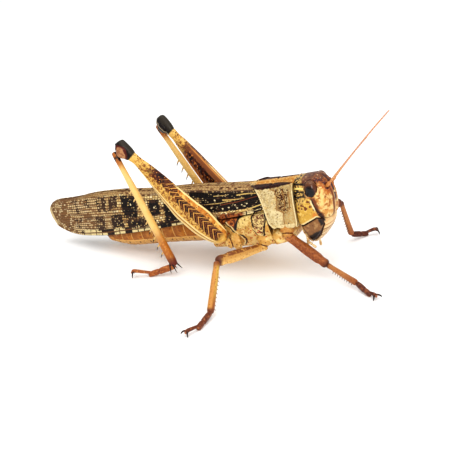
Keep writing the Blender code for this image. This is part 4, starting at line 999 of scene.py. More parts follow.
# ---------------------------------------------------------------- feelers
# A thick root joint, a short one, then a whip of two dozen slightly beaded joints of thin cuticle,
# orange at the root and paler towards the tip.
FEELER_TIP = {"left": (25.2, 3.0, 28.7), "right": (24.4, -4.95, 27.2)}
FEELER_JOINT = 0.62                  # length of one joint of the whip, mm
FEELER_BOW = {"left": (-0.12, 0.0, 0.14), "right": (-0.1, 0.0, 0.0)}
CENTRING = np.array([9.418, 0.4825, 0.0])   # leg and feeler joints are given before centring


def stand(p):
    """Joint coordinates to the figure's frame, both in mm."""
    return p + CENTRING


whip = Finish("feeler_cuticle", (210, 154, 98), 0.42)
whip.coat((206, 152, 118), whip.step("out", 0.2, 0.5, 0.1, 1.5))
whip.coat((202, 154, 128), whip.step("out", 0.6, 0.95))
whip.coat((196, 132, 72), whip.step("out", 0.1, 0.04))
whip.coat((166, 104, 74), whip.step("ring", 0.16, 0.04))
whip.coat((198, 140, 96), whip.blots(0.8, 2, 0.54, 0.66))
whip.raise_by(whip.cloud(0.15, 2), 0.02)
for side, word in SIDES:
    base = body_to_floor(np.array([[SOCKET[0], side * SOCKET[1], SOCKET[2]]]))[0] - CENTRING
    t = np.linspace(0, 1, 420)
    tip, bow = np.array(FEELER_TIP[word]), np.array(FEELER_BOW[word])
    line = base + (tip - base) * (0.03 + 0.97 * t)[:, None] + bow * (4 * t * (1 - t))[:, None]
    line = np.concatenate([(base + (line[0] - base) * np.linspace(-1.2, 1, 30)[:, None])[:-1], line])
    out = np.concatenate([np.zeros(29), t])
    reach = np.concatenate(([0], np.cumsum(np.linalg.norm(np.diff(line, axis=0), axis=1)))) - 0.9
    bead = np.mod(reach / FEELER_JOINT, 1.0)
    size = 0.17 - 0.05 * out
    size = size * (0.93 + 0.11 * np.sin(math.pi * bead) ** 0.5)
    size += 0.13 * bump_up(np.maximum(0, reach - 0.1), 0.42) * (reach < 1.0)
    size += 0.04 * bump_up(reach - 1.15, 0.2)
    left_over = np.clip((reach[-1] - reach) / 0.45, 0, 1)
    size *= np.sqrt(1 - (1 - left_over) ** 2 * 0.98)
    ring = np.where(reach > 0, np.minimum(bead, 1 - bead), 0.5)
    feeler = shell("feeler_" + word, rod_rings(line, size, 26), place=stand,
                   more={"out": round_each(out, 26), "ring": round_each(ring, 26, (0, 0))})
    fit(whip.on(feeler), "feeler", "antenna_" + word)

# ---------------------------------------------------------------- fore wings
# Two long leathery tegmina folded roof-wise along the back: parchment-stiff sheets with raised long
# veins and a net of small cells, tucked under the shield in front and rounded at the tip.
# place along the wing, then across (Y) or up (Z), for its front edge, shoulder and inner edge, mm
COSTAL_Y = [(3.2, 3.55), (0, 3.9), (-5, 4.1), (-14, 3.75), (-25, 3.45), (-31, 2.95), (-35, 2.5),
            (-38, 2.0), (-42, 1.4), (-46, 0.9)]
COSTAL_Z = [(3.2, -3.55), (0, -3.8), (-14, -3.95), (-25, -4.25), (-31, -4.25), (-35, -4.05),
            (-38, -3.85), (-41, -3.2), (-43.5, -2.0), (-45.0, -0.75), (-46, 0.2)]
SHOULDER_Y = [(2.4, 2.65), (0, 2.45), (-3, 2.2), (-12, 1.9), (-20, 1.65), (-28, 1.25), (-35, 1.0),
              (-40, 0.85), (-46, 0.65)]
SHOULDER_Z = [(2.4, -0.35), (0, -0.2), (-3, 0.05), (-7, 0.6), (-12, 1.3), (-20, 1.85), (-28, 2.75),
              (-35, 3.0), (-40, 2.95), (-43, 2.85), (-46, 1.8)]
DORSAL_Y = [(2, 0.12), (-20, 0.12), (-26, 0.18), (-33, 0.24), (-46, 0.32)]
DORSAL_Z = [(2, 0.35), (0, 0.42), (-3, 0.85), (-10, 1.6), (-20, 2.25), (-28, 3.25), (-33, 3.55),
            (-38, 3.35), (-40, 3.4), (-42, 3.5), (-43.5, 3.4), (-44.6, 2.9), (-46, 2.0)]
# share of the width from front to inner edge, then how far ahead the root and the tip reach
WING_FRONT_X = [(0.0, 3.15), (0.62, 2.55), (0.72, 2.1), (0.86, 0.95), (1.0, -0.2)]
WING_TIP_X = [(0.0, -44.4), (0.3, -45.1), (0.6, -45.2), (1.0, -44.4)]
CREASE = 0.70                        # share of the width that hangs down the side
WING_THICK = 0.14                    # mm
WING_WIDTH = 9.5                     # unfolded, mm
# place along the wing and share of its width
LONG_VEINS = [[(3, 0.11), (-14, 0.1), (-30, 0.06), (-40, 0.04)],
              [(3, 0.33), (-8, 0.3), (-20, 0.27), (-33, 0.25), (-43, 0.28)],
              [(3, 0.39), (-8, 0.4), (-16, 0.4), (-26, 0.44), (-36, 0.5), (-44.5, 0.6)],
              [(3, 0.5), (-6, 0.53), (-14, 0.56), (-24, 0.62), (-34, 0.7)],
              [(-16, 0.4), (-24, 0.37), (-34, 0.4), (-44.6, 0.46)],
              [(-20, 0.27), (-30, 0.32), (-44, 0.37)],
              [(-24, 0.44), (-34, 0.56), (-43, 0.72)],
              [(3, 0.66), (-8, 0.69), (-20, 0.7), (-34, 0.74)],
              [(1.5, 0.84), (-10, 0.86), (-24, 0.86), (-36, 0.84)],
              [(1.0, 0.93), (-12, 0.94), (-28, 0.93)]]
# from and to along the wing, mm, from and to across it, share, and how dark
DARK_CELLS = [(-39.6, -37.6, 0.04, 0.34, 0.45), (-40, -37.6, 0.4, 0.7, 0.3), (-36.2, -34.6, 0.3, 0.7, 0.42),
              (-34.2, -31.6, 0.1, 0.36, 0.62), (-33.2, -30.6, 0.42, 0.7, 0.6),
              (-30.2, -27.8, 0.44, 0.7, 0.7),
              (-30.2, -27.0, 0.1, 0.38, 0.85), (-27.0, -23.4, 0.26, 0.67, 1),
              (-26.5, -21.1, 0.08, 0.25, 0.85), (-22.9, -21.2, 0.45, 0.62, 0.5),
              (-20.8, -18.2, 0.28, 0.6, 1),
              (-18.8, -16.2, -0.05, 0.14, 1), (-17.4, -13.2, 0.09, 0.5, 1), (-12.6, -9.4, 0.16, 0.48, 0.85),
              (-11.6, -7.2, 0.54, 0.71, 1.0), (-9.4, -5.5, 0.22, 0.62, 1.0), (-7.4, 3.2, 0.2, 0.71, 1.3),
              (-5.6, -1.2, -0.05, 0.15, 0.5), (1.0, 3.2, 0.08, 0.2, 1.1)]
# lines with their half widths, mm
PALE_STREAKS = [([(-8.4, 0.4), (-5.5, 0.42), (-2.9, 0.47)], 0.08),
                ([(-4.5, 0.5), (-2.2, 0.5), (-0.2, 0.52)], 0.16),
                ([(-1.6, 0.62), (0.4, 0.645), (2.2, 0.64)], 0.16),
                ([(-2.2, 0.1), (0.2, 0.17), (3.0, 0.22)], 0.2),
                ([(-10.4, 0.385), (-8.7, 0.4)], 0.07), ([(-6.4, 0.6), (-3.6, 0.63)], 0.07)]
RUST_STREAK = [(-5.0, 0.375), (-1.5, 0.43), (2.6, 0.54)]
PALE_SPOTS = [(-4.7, 0.275), (-3.4, 0.29), (-5.1, 0.15), (-4.1, 0.13), (-2.1, 0.34), (-1.7, 0.25),
              (-2.3, 0.74), (-0.7, 0.33), (0.3, 0.35), (-0.2, 0.28), (-15.4, 0.3), (-14.4, 0.38),
              (-19.5, 0.44), (-24.8, 0.52), (-6.2, 0.5), (-7.0, 0.31), (-10.9, 0.3)]


def eased(rows, x):
    """Smooth reading of rows of (key, value) that never overshoots them."""
    k, v = np.array(sorted(rows)).T
    x = np.clip(np.asarray(x, float), k[0], k[-1])
    h, m = np.diff(k), np.diff(v) / np.diff(k)
    product, total = m[:-1] * m[1:], m[:-1] + m[1:]
    inner = np.where(product > 0, 2 * product / np.where(total == 0, 1, total), 0)
    d = np.concatenate(([m[0]], inner, [m[-1]]))
    i = np.clip(np.searchsorted(k, x, side="right") - 1, 0, len(h) - 1)
    s = (x - k[i]) / h[i]
    return (v[i] * (1 + 2 * s) * (1 - s) ** 2 + v[i + 1] * s ** 2 * (3 - 2 * s)
            + h[i] * (d[i] * s * (1 - s) ** 2 - d[i + 1] * s ** 2 * (1 - s)))


def wing_sheet(side, t, v):
    """Outer face of a folded fore wing, in mm; t from root to tip, v from costal to inner edge."""
    x = eased(WING_FRONT_X, v) * (1 - t) + eased(WING_TIP_X, v) * t
    y0, z0, y1, z1 = (eased(rows, x) for rows in (COSTAL_Y, COSTAL_Z, SHOULDER_Y, SHOULDER_Z))
    y2, z2 = eased(DORSAL_Y, x), eased(DORSAL_Z, x)
    s, r = v / CREASE, (v - CREASE) / (1 - CREASE)
    hang = np.stack([x, side * (y0 + (y1 - y0) * s + 0.2 * np.sin(math.pi * np.clip(s, 0, 1))
                                * np.clip(1 - t, 0, 1) ** 0.5), z0 + (z1 - z0) * s], -1)
    roof = np.stack([x, side * (y1 + (y2 - y1) * r), z1 + (z2 - z1) * r
                     + 0.12 * np.sin(math.pi * np.clip(r, 0, 1))], -1)
    blend = np.clip((v - CREASE + 0.035) / 0.07, 0, 1)
    blend = (blend * blend * (3 - 2 * blend))[..., None]
    return hang * (1 - blend) + roof * blend


def folded_sheet(name, point, rows, columns, thick, relief, fields):
    """A closed sheet over a grid: outer face, inner face and a rounded rim."""
    t, v = np.meshgrid(rows, columns, indexing="ij")
    face = point(t, v)
    along = point(t - 0.002, v) - point(t + 0.002, v)
    over = point(t, v + 0.004) - point(t, v - 0.004)
    normal = np.cross(along, over)
    normal /= np.linalg.norm(normal, axis=2)[:, :, None]
    if (normal[..., 1] * face[..., 1]).sum() < 0:
        normal = -normal
    i, j = np.indices(t.shape)
    rim = np.minimum(np.minimum(i, len(rows) - 1 - i), np.minimum(j, len(columns) - 1 - j))
    slim = (0.35 + 0.65 * np.clip(rim / 2, 0, 1)) * thick / 2
    raised = relief(face[..., 0], v)
    sheets = [face + normal * (raised + slim - thick / 2)[..., None],
              face + normal * (raised * 0.6 - slim - thick / 2)[..., None]]
    n = t.size
    index = np.arange(n).reshape(t.shape)
    quads = np.stack([index[:-1, :-1], index[:-1, 1:], index[1:, 1:], index[1:, :-1]], -1).reshape(-1, 4)
    loop = np.concatenate([index[0, :-1], index[:-1, -1], index[-1, :0:-1], index[:0:-1, 0]])
    wall = np.stack([np.roll(loop, -1), loop, loop + n, np.roll(loop, -1) + n], 1)
    faces = np.concatenate([quads, quads[:, ::-1] + n, wall]).tolist()
    values = {key: np.tile(np.ravel(value), 2) for key, value in fields(face[..., 0], v).items()}
    return cast(name, np.concatenate([s.reshape(-1, 3) for s in sheets]), faces, more=values)


def on_wing(x, v):
    """Wing places as flat points: along the wing and across it, both in mm."""
    return np.stack([np.ravel(x), np.zeros(x.size), np.ravel(v) * WING_WIDTH], 1)


def off_flat(flat, line):
    """Distance to a line given by places along the wing and shares of its width."""
    return off_line(flat, [(x, v * WING_WIDTH) for x, v in line])


def vein_relief(x, v):
    """Height of the long veins and of the thickened front edge."""
    flat = on_wing(x, v)
    near = np.min([off_flat(flat, line) for line in LONG_VEINS], 0).reshape(x.shape)
    return 0.085 * bump_up(near, 0.11) + 0.05 * bump_up((v - 0.012) * WING_WIDTH, 0.12)


def wing_fields(x, v):
    """How dark each place is, and distances to streaks, spots and veins."""
    flat = on_wing(x, v)
    dark = np.zeros(len(flat))
    for x0, x1, v0, v1, strength in DARK_CELLS:
        box = [(x, v * WING_WIDTH) for x, v in ((x0, v0), (x1, v0), (x1, v1), (x0, v1))]
        dark = np.maximum(dark, strength * np.clip(0.5 + depth_in(flat, box) / 0.7, 0, 1))
    streaks = np.min([off_flat(flat, line) - wide for line, wide in PALE_STREAKS], 0)
    spots = np.min([np.hypot(flat[:, 0] - sx, flat[:, 2] - sv * WING_WIDTH) for sx, sv in PALE_SPOTS], 0)
    return {"dark": dark, "streak": streaks, "spot": spots, "along": x, "across": v * WING_WIDTH,
            "rust": off_flat(flat, RUST_STREAK), "tip": 44.6 + x + 0.8 * v,
            "vein": np.min([off_flat(flat, line) for line in LONG_VEINS], 0)}


def netted(coat, long, wide, wobble):
    """Cells of a net along a wing: a chance for each cell, how near its walls and its long walls are."""
    where = coat.node("ShaderNodeCombineXYZ", {0: "along", 1: "across"}, 0)
    sway = coat.calc("MULTIPLY_ADD", coat.cloud(1.3, 2, where=where), 2 * wobble, -wobble)
    row = coat.calc("DIVIDE", coat.calc("ADD", "across", sway), wide)
    row_number = coat.calc("FLOOR", row)
    shift = coat.node("ShaderNodeTexWhiteNoise", {"W": row_number}, "Value", noise_dimensions="1D")
    place = coat.calc("ADD", coat.calc("DIVIDE", coat.calc("ADD", "along", sway), long),
                      coat.calc("MULTIPLY", shift, 7.0))
    cell = coat.node("ShaderNodeCombineXYZ", {0: coat.calc("FLOOR", place), 1: row_number}, 0)
    chance = coat.node("ShaderNodeTexWhiteNoise", {"Vector": cell}, "Value", noise_dimensions="2D")
    walls = []
    for value in (place, row):
        part = coat.calc("FRACT", value)
        walls.append(coat.calc("MINIMUM", part, coat.calc("SUBTRACT", 1.0, part)))
    return chance, coat.calc("MINIMUM", walls[0], coat.calc("MULTIPLY", walls[1], 0.8)), walls[1]


leather = Finish("fore_wing_leather", (226, 202, 142), 0.5, 0.2)
chance, wall, row = netted(leather, 0.6, 0.46, 0.12)
fine_chance, fine_wall, fine_row = netted(leather, 0.5, 0.42, 0.08)
pale_part = leather.step("along", -36, -26, 2.0, 3.0)
leather.coat((200, 166, 104), leather.step(chance, 0.46, 0.54))
leather.coat((238, 222, 176), leather.step(chance, 0.2, 0.14))
leather.coat((192, 158, 106), leather.blots(2.2, 3, 0.5, 0.66))
leather.coat((124, 88, 52), leather.step(wall, 0.14, 0.07))
tip_zone = leather.calc("SUBTRACT", 1.0, pale_part)
leather.coat((206, 178, 130), tip_zone)
leather.coat((134, 98, 60), tip_zone,
             leather.step(leather.calc("ADD", leather.cloud(2.4, 2),
                                       leather.calc("MULTIPLY", fine_chance, 0.25)), 0.63, 0.68))
leather.coat((212, 188, 146), tip_zone, leather.step(fine_chance, 0.2, 0.16))
leather.coat((114, 80, 46), tip_zone, leather.step(fine_wall, 0.15, 0.08))
leather.coat((76, 48, 28), tip_zone, leather.step(fine_row, 0.2, 0.1))
roof = leather.step("across", 6.95, 7.1)
leather.coat((190, 158, 106), roof, leather.step("along", -40, -30))
leather.coat((138, 100, 62), roof, leather.step(wall, 0.14, 0.06))
leather.coat((122, 84, 52), roof, leather.step(chance, 0.66, 0.7), leather.blots(1.6, 2, 0.42, 0.56))
edge_row = leather.step("across", 1.15, 1.05)
leather.coat((218, 198, 146), edge_row, leather.step("along", -40, -36))
long_chance, long_wall, _ = netted(leather, 1.5, 0.55, 0.03)
leather.coat((40, 24, 18), edge_row, leather.step(leather.calc("SUBTRACT", long_wall,
    leather.step(long_chance, 0.66, 0.7)), 0.1, 0.05), leather.step("along", -38, -34))
soaked = leather.calc("SUBTRACT", leather.calc("MULTIPLY", leather.ragged("dark", 0.7, 1.1), 0.8),
                      leather.calc("MULTIPLY", chance, 0.48))
in_dark = leather.every(leather.step(leather.calc("SUBTRACT", wall, soaked), 0.05, -0.03),
                        leather.step(soaked, 0.0, 0.06))
is_dark = leather.every(in_dark, leather.step("streak", -0.03, 0.05))
leather.coat((22, 14, 12), is_dark)
leather.coat((64, 42, 28), is_dark, leather.step(chance, 0.6, 0.54), leather.step("dark", 1.0, 0.7))
leather.coat((190, 166, 122), is_dark, leather.step(fine_wall, 0.2, 0.28),
             leather.step(fine_chance, 0.7, 0.74), leather.blots(1.1, 2, 0.42, 0.52))
leather.coat((70, 46, 30), leather.step(chance, 0.92, 0.94), leather.step("along", -40, -20),
             leather.step(wall, 0.02, 0.1))
leather.coat((120, 58, 30), leather.line("rust", 0.1, 0.06, 0.06, 0.6))
root_red = leather.every(leather.step("across", 1.35, 1.1), leather.step("along", -6.4, -5.0, 0.6, 0.8),
                         leather.step("along", -0.2, -1.2))
leather.coat((150, 84, 42), root_red)
leather.coat((70, 34, 22), root_red, leather.blots(0.5, 3, 0.5, 0.56))
leather.coat((208, 176, 104), leather.step("streak", 0.03, -0.05, 0.14, 0.5),
             leather.blots(0.5, 2, 0.34, 0.4))
leather.coat((226, 208, 164), leather.step("spot", 0.22, 0.14, 0.1, 0.3))
leather.coat((70, 36, 24),
             leather.step(leather.off(leather.ragged("across", 0.06, 0.8), 7.05), 0.14, 0.08),
             leather.step("along", -24, -16))
leather.coat((206, 182, 136), leather.step("tip", 0.6, 0.3, 0.2, 0.5))
vein_line = leather.line("vein", 0.09, 0.05)
leather.coat((112, 74, 42), vein_line,
             leather.calc("SUBTRACT", 0.9, leather.calc("MULTIPLY", is_dark, 0.8)))
leather.raise_by(leather.step(wall, 0.14, 0.02), 0.05).raise_by(leather.cloud(0.2, 2), 0.02)
leather.dry(leather.cloud(0.9), 0.38, 0.56)
for side, word in SIDES:
    wing = folded_sheet("fore_wing_" + word, lambda t, v: wing_sheet(side, t, v),
                        np.linspace(-0.012, 1, 330), np.linspace(0, 1, 104), WING_THICK,
                        vein_relief, wing_fields)
    fit(leather.on(wing), "forewing", "tegmen_" + word)

# ---------------------------------------------------------------- hind wings
# The broad flying wings lie shut like a fan inside the fore wings: clear, faintly smoky membrane
# pleated along its veins.
FILM_THICK = 0.1                     # mm
film = Finish("hind_wing_film", (150, 138, 116), 0.3, 0.5)
pleat = film.calc("SINE", film.calc("MULTIPLY", "across", 18.0))
fold_line = film.calc("SINE", film.calc("MULTIPLY", "across", 9.0))
film.coat((206, 194, 164), film.step(pleat, -0.2, 0.7))
film.coat((72, 52, 38), film.step(film.off(fold_line), 0.12, 0.05))
film.raise_by(film.cloud(0.4, 2), 0.02)
for side, word in SIDES:
    def inside(t, v, side=side):
        p = wing_sheet(side, t, v)
        return p - np.stack([0 * v, side * (0.72 + 0.07 * np.cos(v * WING_WIDTH * 18)), 0.3 + 0 * v], -1)

    fan = folded_sheet("hind_wing_" + word, inside, np.linspace(0.275, 0.86, 90), np.linspace(0.34, 0.6, 60),
                       FILM_THICK, lambda x, v: 0 * x, lambda x, v: {"across": v * WING_WIDTH})
    fit(film.on(fan), "hindwing", "hindwing_" + word)

# ---------------------------------------------------------------- leg roots
# Each leg starts in a short cone of cuticle, the coxa, with a small ring at its end that carries the
# thigh; the cone is set into the flank, so its inner end is buried.
# joints in mm, before centring
POSE = {
    "fore_right": dict(hip=(7.56, -2.9, 7.55), knee=(14.1, -2.2, 2.35), ankle=(20.55, -5.15, 1.15),
                       pad=(23.3, -6.85, 0.42), claw_base=(24.4, -7.45, 0.75), claw_drop=0.55),
    "fore_left": dict(hip=(7.56, 2.9, 7.55), knee=(12.7, 8.7, 9.2), ankle=(12.7, 12.0, 1.3),
                      pad=(14.5, 14.6, 0.42), claw_base=(15.75, 15.3, 1.05), claw_drop=0.85),
    "mid_right": dict(hip=(3.0, -3.8, 5.3), knee=(-0.9, -12.9, 6.6), ankle=(0.85, -20.1, 0.95),
                      pad=(0.8, -24.1, 0.45), claw_base=(0.0, -26.1, 0.85), claw_drop=0.7),
    "mid_left": dict(hip=(3.0, 3.8, 5.3), knee=(-0.6, 12.7, 6.7), ankle=(0.2, 19.3, 0.95),
                     pad=(-0.3, 23.2, 0.45), claw_base=(-1.2, 25.1, 0.85), claw_drop=0.7),
    "hind_right": dict(hip=(-2.85, -4.75, 5.85), knee=(-20.7, -7.5, 23.8), ankle=(-12.9, -7.7, 1.75),
                       pad=(-17.1, -9.4, 0.45), claw_base=(-19.8, -10.5, 1.25), claw_drop=1.1),
    "hind_left": dict(hip=(-2.75, 4.65, 5.35), knee=(-21.0, 7.0, 23.25), ankle=(-10.8, 9.2, 1.7),
                      pad=(-14.9, 11.0, 0.45), claw_base=(-17.5, 12.3, 1.25), claw_drop=1.1)}
# from the hip to the buried end, and the radii of that end and of the ball, mm
COXA_ROOT = {"fore": (-0.3, -1.0, 1.6), "mid": (0.2, -1.1, 1.7), "hind": (1.5, -1.3, 0.3)}
COXA_SIZE = {"fore": (1.3, 0.95), "mid": (1.4, 0.9), "hind": (1.6, 0.9)}


def legs():
    """Name, kind, side and joints of each leg; the side is -1 on the right."""
    for leg, joints in POSE.items():
        kind, word = leg.split("_")
        side = -1 if word == "right" else 1
        yield leg, kind, side, {joint: np.array(spot) for joint, spot in joints.items()}


def along_limb(start, end, back):
    """Places limb coordinates: X from joint to joint, Z to the limb's back, all in mm."""
    start = np.asarray(start, float)
    x = np.asarray(end, float) - start
    x /= np.linalg.norm(x)
    y = np.cross(back, x)
    y /= np.linalg.norm(y)
    return lambda p: p @ np.array([x, y, np.cross(x, y)]) + start + CENTRING


def limb_rings(stations, length, along, around, squareness, ends=0.5):
    """Rings from stations of share, height up, height down and half width, with rounded ends."""
    stations = np.asarray(stations, float)
    share = np.linspace(stations[0, 0], stations[-1, 0], along)
    dense = np.stack([eased(stations[:, [0, k]].tolist(), share) for k in (1, 2, 3)], 1)
    off = np.minimum(share - share[0], share[-1] - share) * length
    dense *= np.sqrt(np.clip(1 - (1 - np.clip(off / ends, 0, 1)) ** 2, 0.01, 1))[:, None]
    c, s = squared(circle(around), squareness)
    tall = np.where(c > 0, dense[:, :1], dense[:, 1:2])
    return np.stack([np.repeat(share[:, None] * length, around, 1), dense[:, 2:] * s, tall * c], 2)


def cluster(name, parts, place):
    """One mesh of several closed rods; each part is its rings and the values it carries."""
    points, faces, values = [], [], {}
    for grid, carried in parts:
        p, f = closed(grid)
        first = sum(len(q) for q in points)
        faces += [[k + first for k in face] for face in f]
        points.append(p)
        for key, value in carried.items():
            values.setdefault(key, []).append(np.broadcast_to(value, (len(p),)))
    return cast(name, np.concatenate(points), faces, place=place,
                more={key: np.concatenate(value) for key, value in values.items()})


hip_skin = Finish("coxa_cuticle", (196, 148, 74), 0.4)
hip_skin.coat((224, 190, 122), hip_skin.blots(0.8, 4, 0.5, 0.64))
hip_skin.coat((166, 112, 56), hip_skin.blots(0.5, 4, 0.56, 0.66))
hip_skin.coat((174, 114, 54), "front", hip_skin.blots(0.7, 3, 0.3, 0.6))
hip_skin.coat((118, 70, 34), hip_skin.pores(0.6, 0.28, 0.14))
hip_skin.coat((96, 52, 28), hip_skin.step("ring", 0.16, 0.06), hip_skin.blots(0.8, 2, 0.4, 0.5))
hip_skin.raise_by(hip_skin.cloud(0.3, 3), 0.03)
for leg, kind, side, joints in legs():
    hip = joints["hip"]
    dx, dy, dz = COXA_ROOT[kind]
    inner = hip + (dx, side * dy, dz)
    root, ball = COXA_SIZE[kind]
    reach = np.linalg.norm(hip - inner)
    cone = [(at, size, size, size) for at, size in (
        (0.0, root), (0.5, root), (0.78, ball * 1.08), (0.86, ball * 0.9), (0.98, ball * 1.04),
        (1 + ball * 0.75 / reach, ball * 0.6))]
    grid = limb_rings(cone, reach, 70, 64, 2.0, 0.4)
    ring = round_each(abs(grid[:, 0, 0] / reach - 0.86) * reach, 64, (1, 1))
    coxa = shell("coxa_" + leg + "_skin", grid, place=along_limb(inner, hip, (0, side, 0.2)),
                 more={"ring": ring, "front": np.full(len(ring), kind == "fore")})
    fit(hip_skin.on(coxa), "thorax_shell", "coxa_" + leg)

# ---------------------------------------------------------------- thighs
# The hind thigh is the jumping muscle in a club of hard cuticle with raised edge lines and a
# herringbone of ridges on its flat sides; the other four are plain spindles.
# share of the length, height up, height down and half width, mm
THIGH = {
    "fore": [(-0.08, 0.75, 0.75, 0.66), (0.04, 0.82, 0.82, 0.7), (0.2, 0.8, 0.84, 0.68),
             (0.5, 0.88, 0.92, 0.77), (0.75, 0.86, 0.9, 0.76), (0.86, 0.74, 0.76, 0.66),
             (0.94, 0.8, 0.8, 0.68), (1.03, 0.55, 0.55, 0.5)],
    "mid": [(-0.04, 0.5, 0.5, 0.46), (0.06, 0.68, 0.7, 0.6), (0.22, 0.78, 0.82, 0.64),
            (0.45, 0.96, 1.02, 0.77), (0.7, 1.0, 1.1, 0.79), (0.83, 0.84, 0.95, 0.68),
            (0.93, 0.92, 1.0, 0.72), (1.03, 0.6, 0.6, 0.5)],
    "hind": [(0.03, 0.5, 0.7, 0.6), (0.05, 0.85, 1.3, 0.8), (0.08, 1.5, 1.95, 1.0), (0.15, 1.65, 2.65, 1.2),
             (0.25, 1.95, 3.05, 1.25), (0.37, 1.72, 3.07, 1.25), (0.485, 1.6, 2.55, 1.22),
             (0.62, 1.55, 1.78, 1.1), (0.735, 1.4, 1.0, 0.95), (0.85, 1.18, 0.42, 0.8),
             (0.89, 1.3, 0.72, 0.85), (0.93, 1.5, 1.2, 1.0), (0.97, 1.6, 1.4, 1.05),
             (1.003, 1.64, 0.85, 0.9), (1.03, 1.45, -0.2, 0.6)]}
HERRINGBONE = 1.1                    # spacing of the ridges, mm
KNEE_LOBE = (24.3, -0.3)             # centre of the round lobe on the side of the hind knee


def thigh_back(kind, side, hip, knee):
    """Direction of the upper edge of a thigh, square to the plane that the leg folds in."""
    if kind == "hind":
        return np.cross((0.21, side * 0.97, 0.08), knee - hip) * side
    return np.array((0.3, 0, 1)) if kind == "fore" else np.array((0.0, 0, 1))


def height_share(p, length):
    """Height on a hind thigh, 1 at its upper edge and -1 at its lower one."""
    share = p[:, 0] / length
    rows = THIGH["hind"]
    up = eased([(r[0], r[1]) for r in rows], share)
    down = eased([(r[0], max(r[2], 0.3)) for r in rows], share)
    return np.where(p[:, 2] > 0, p[:, 2] / up, p[:, 2] / down)


def bone_phase(p):
    """Where a place lies in the herringbone, in ridges counted along the thigh."""
    up = p[:, 2] - 0.4
    return (p[:, 0] + np.where(up > 0, 1.5 * up, -1.0 * up)) / HERRINGBONE


def hind_thigh_relief(length):
    """Edge lines, sunk herringbone field, and the lobe and groove of the knee."""
    def relief(p):
        high = height_share(p, length)
        share = p[:, 0] / length
        middle = np.clip((share - 0.08) / 0.06, 0, 1) * np.clip((0.84 - share) / 0.06, 0, 1)
        out = middle * 0.1 * (bump_up(high - 0.64, 0.05) + bump_up(high + 0.62, 0.05))
        inner = middle * (abs(high) < 0.6)
        wave = np.mod(bone_phase(p), 1.0)
        out += inner * (0.1 * bump_up(wave - 0.5, 0.16) - 0.1)
        out += 0.1 * middle * (bump_up(p[:, 1], 0.16) * (p[:, 2] > 0))
        lobe = np.hypot(p[:, 0] - KNEE_LOBE[0], p[:, 2] - KNEE_LOBE[1])
        out += 0.14 * np.clip((1.05 - lobe) / 0.3, 0, 1) - 0.1 * bump_up(lobe - 1.15, 0.14)
        return out - 0.08 * bump_up((share - 0.885) * length, 0.2) - 0.03
    return relief


def thigh_marks(length, turned):
    """Shares, heights and distances that the finish of the hind thigh reads."""
    def marks(p):
        high = height_share(p, length)
        low = p[:, 2] - KNEE_LOBE[1]
        lobe = np.hypot((p[:, 0] - KNEE_LOBE[0] - 0.05) * 0.9 - 0.3 * low, low + 0.05)
        return {"share": p[:, 0] / length, "run": p[:, 0], "tall": p[:, 2], "inner": p[:, 1] * turned,
                "high": high, "bone": np.mod(bone_phase(p), 1.0), "lobe": lobe}
    return marks


club = Finish("hind_thigh_cuticle", (206, 162, 80), 0.38, 0.2)
club.coat((220, 180, 102), club.blots(1.2, 3, 0.48, 0.66))
club.coat((184, 136, 64), club.blots(0.7, 4, 0.56, 0.66))
middle = club.every(club.step("share", 0.06, 0.1), club.step("share", 0.86, 0.8))
bone_line = club.off("bone", 0.5)
low_lines = club.every(middle, club.step("high", -0.62, -0.5), club.step("high", 0.3, 0.0))
club.coat((146, 94, 44), low_lines, club.step(bone_line, 0.4, 0.46, 0.06, 0.5),
          club.blots(0.5, 2, 0.4, 0.48))
club.coat((120, 50, 26), low_lines, club.pores(0.55, 0.24, 0.16), club.step("high", -0.1, -0.4))
low_mark = club.blots(0.34, 3, 0.5, 0.56, 0.6)
club.coat((132, 80, 34), middle, low_mark, club.step("high", -0.56, -0.5))
upper = club.step("high", 0.62, 0.68, 0.05, 1.0)
club.coat((186, 118, 44), upper, club.step("run", 15.4, 13.4, 1.0, 1.0))
club.coat((222, 172, 88), upper, club.blots(0.8, 3, 0.46, 0.6))
club.coat((104, 54, 24), upper, club.blots(0.4, 3, 0.54, 0.6))
dark_low = club.calc("MULTIPLY_ADD", "run", 0.045, -0.62)
dark_top = club.step("run", 12.0, 15.0)
dark = club.every(middle, club.step(club.calc("SUBTRACT", "high", dark_top), 0.7, 0.62),
                  club.step(club.calc("SUBTRACT", club.ragged("high", 0.4, 0.8), dark_low), -0.05,
                            0.12), club.step("run", 19.6, 17.8, 1.4, 1.0))
club.coat((78, 34, 18), dark)
club.coat((28, 13, 13), dark, club.blots(0.9, 3, 0.52, 0.62))
club.coat((206, 150, 70), dark, club.step(bone_line, 0.14, 0.06, 0.08, 0.4),
          club.step("run", 16.5, 14.0, 1.5, 1.0))
club.coat((196, 128, 56), dark, club.pores(0.42, 0.3, 0.2), club.step("run", 10.0, 15.0))
club.coat((236, 210, 146), club.step("high", 0.93, 0.97, 0.03, 0.8), club.step("run", 14.5, 12.5))
club.coat((228, 202, 144), middle, club.step(club.off("high", -0.62), 0.06, 0.03))
club.coat((128, 78, 40), middle, club.step(club.off("high", -0.72), 0.035, 0.02))
club.coat((226, 200, 140), club.step("high", -0.76, -0.84))
club.coat((120, 64, 34), club.pores(0.8, 0.2, 0.12), club.step("share", 0.7, 0.78),
          club.step("share", 0.9, 0.87))
inner = club.every(club.step("inner", -0.1, 0.25), club.step("run", 19.5, 17.0, 1.2, 1.5))
club.coat((150, 88, 36), inner, club.step("high", -0.9, -0.8))
club.coat((72, 28, 16), inner, club.step("high", -0.5, -0.1, 0.3, 1.0))
club.coat((30, 14, 12), inner, club.blots(0.8, 3, 0.46, 0.56), club.step("high", -0.3, 0.0))
club.coat((190, 116, 48), inner, club.blots(0.5, 3, 0.57, 0.64, 0.5))
club.coat((118, 66, 28), inner, club.step("high", 0.6, 0.75, 0.2, 0.8))
club.coat((196, 132, 62), inner, club.step("high", 0.93, 0.97))
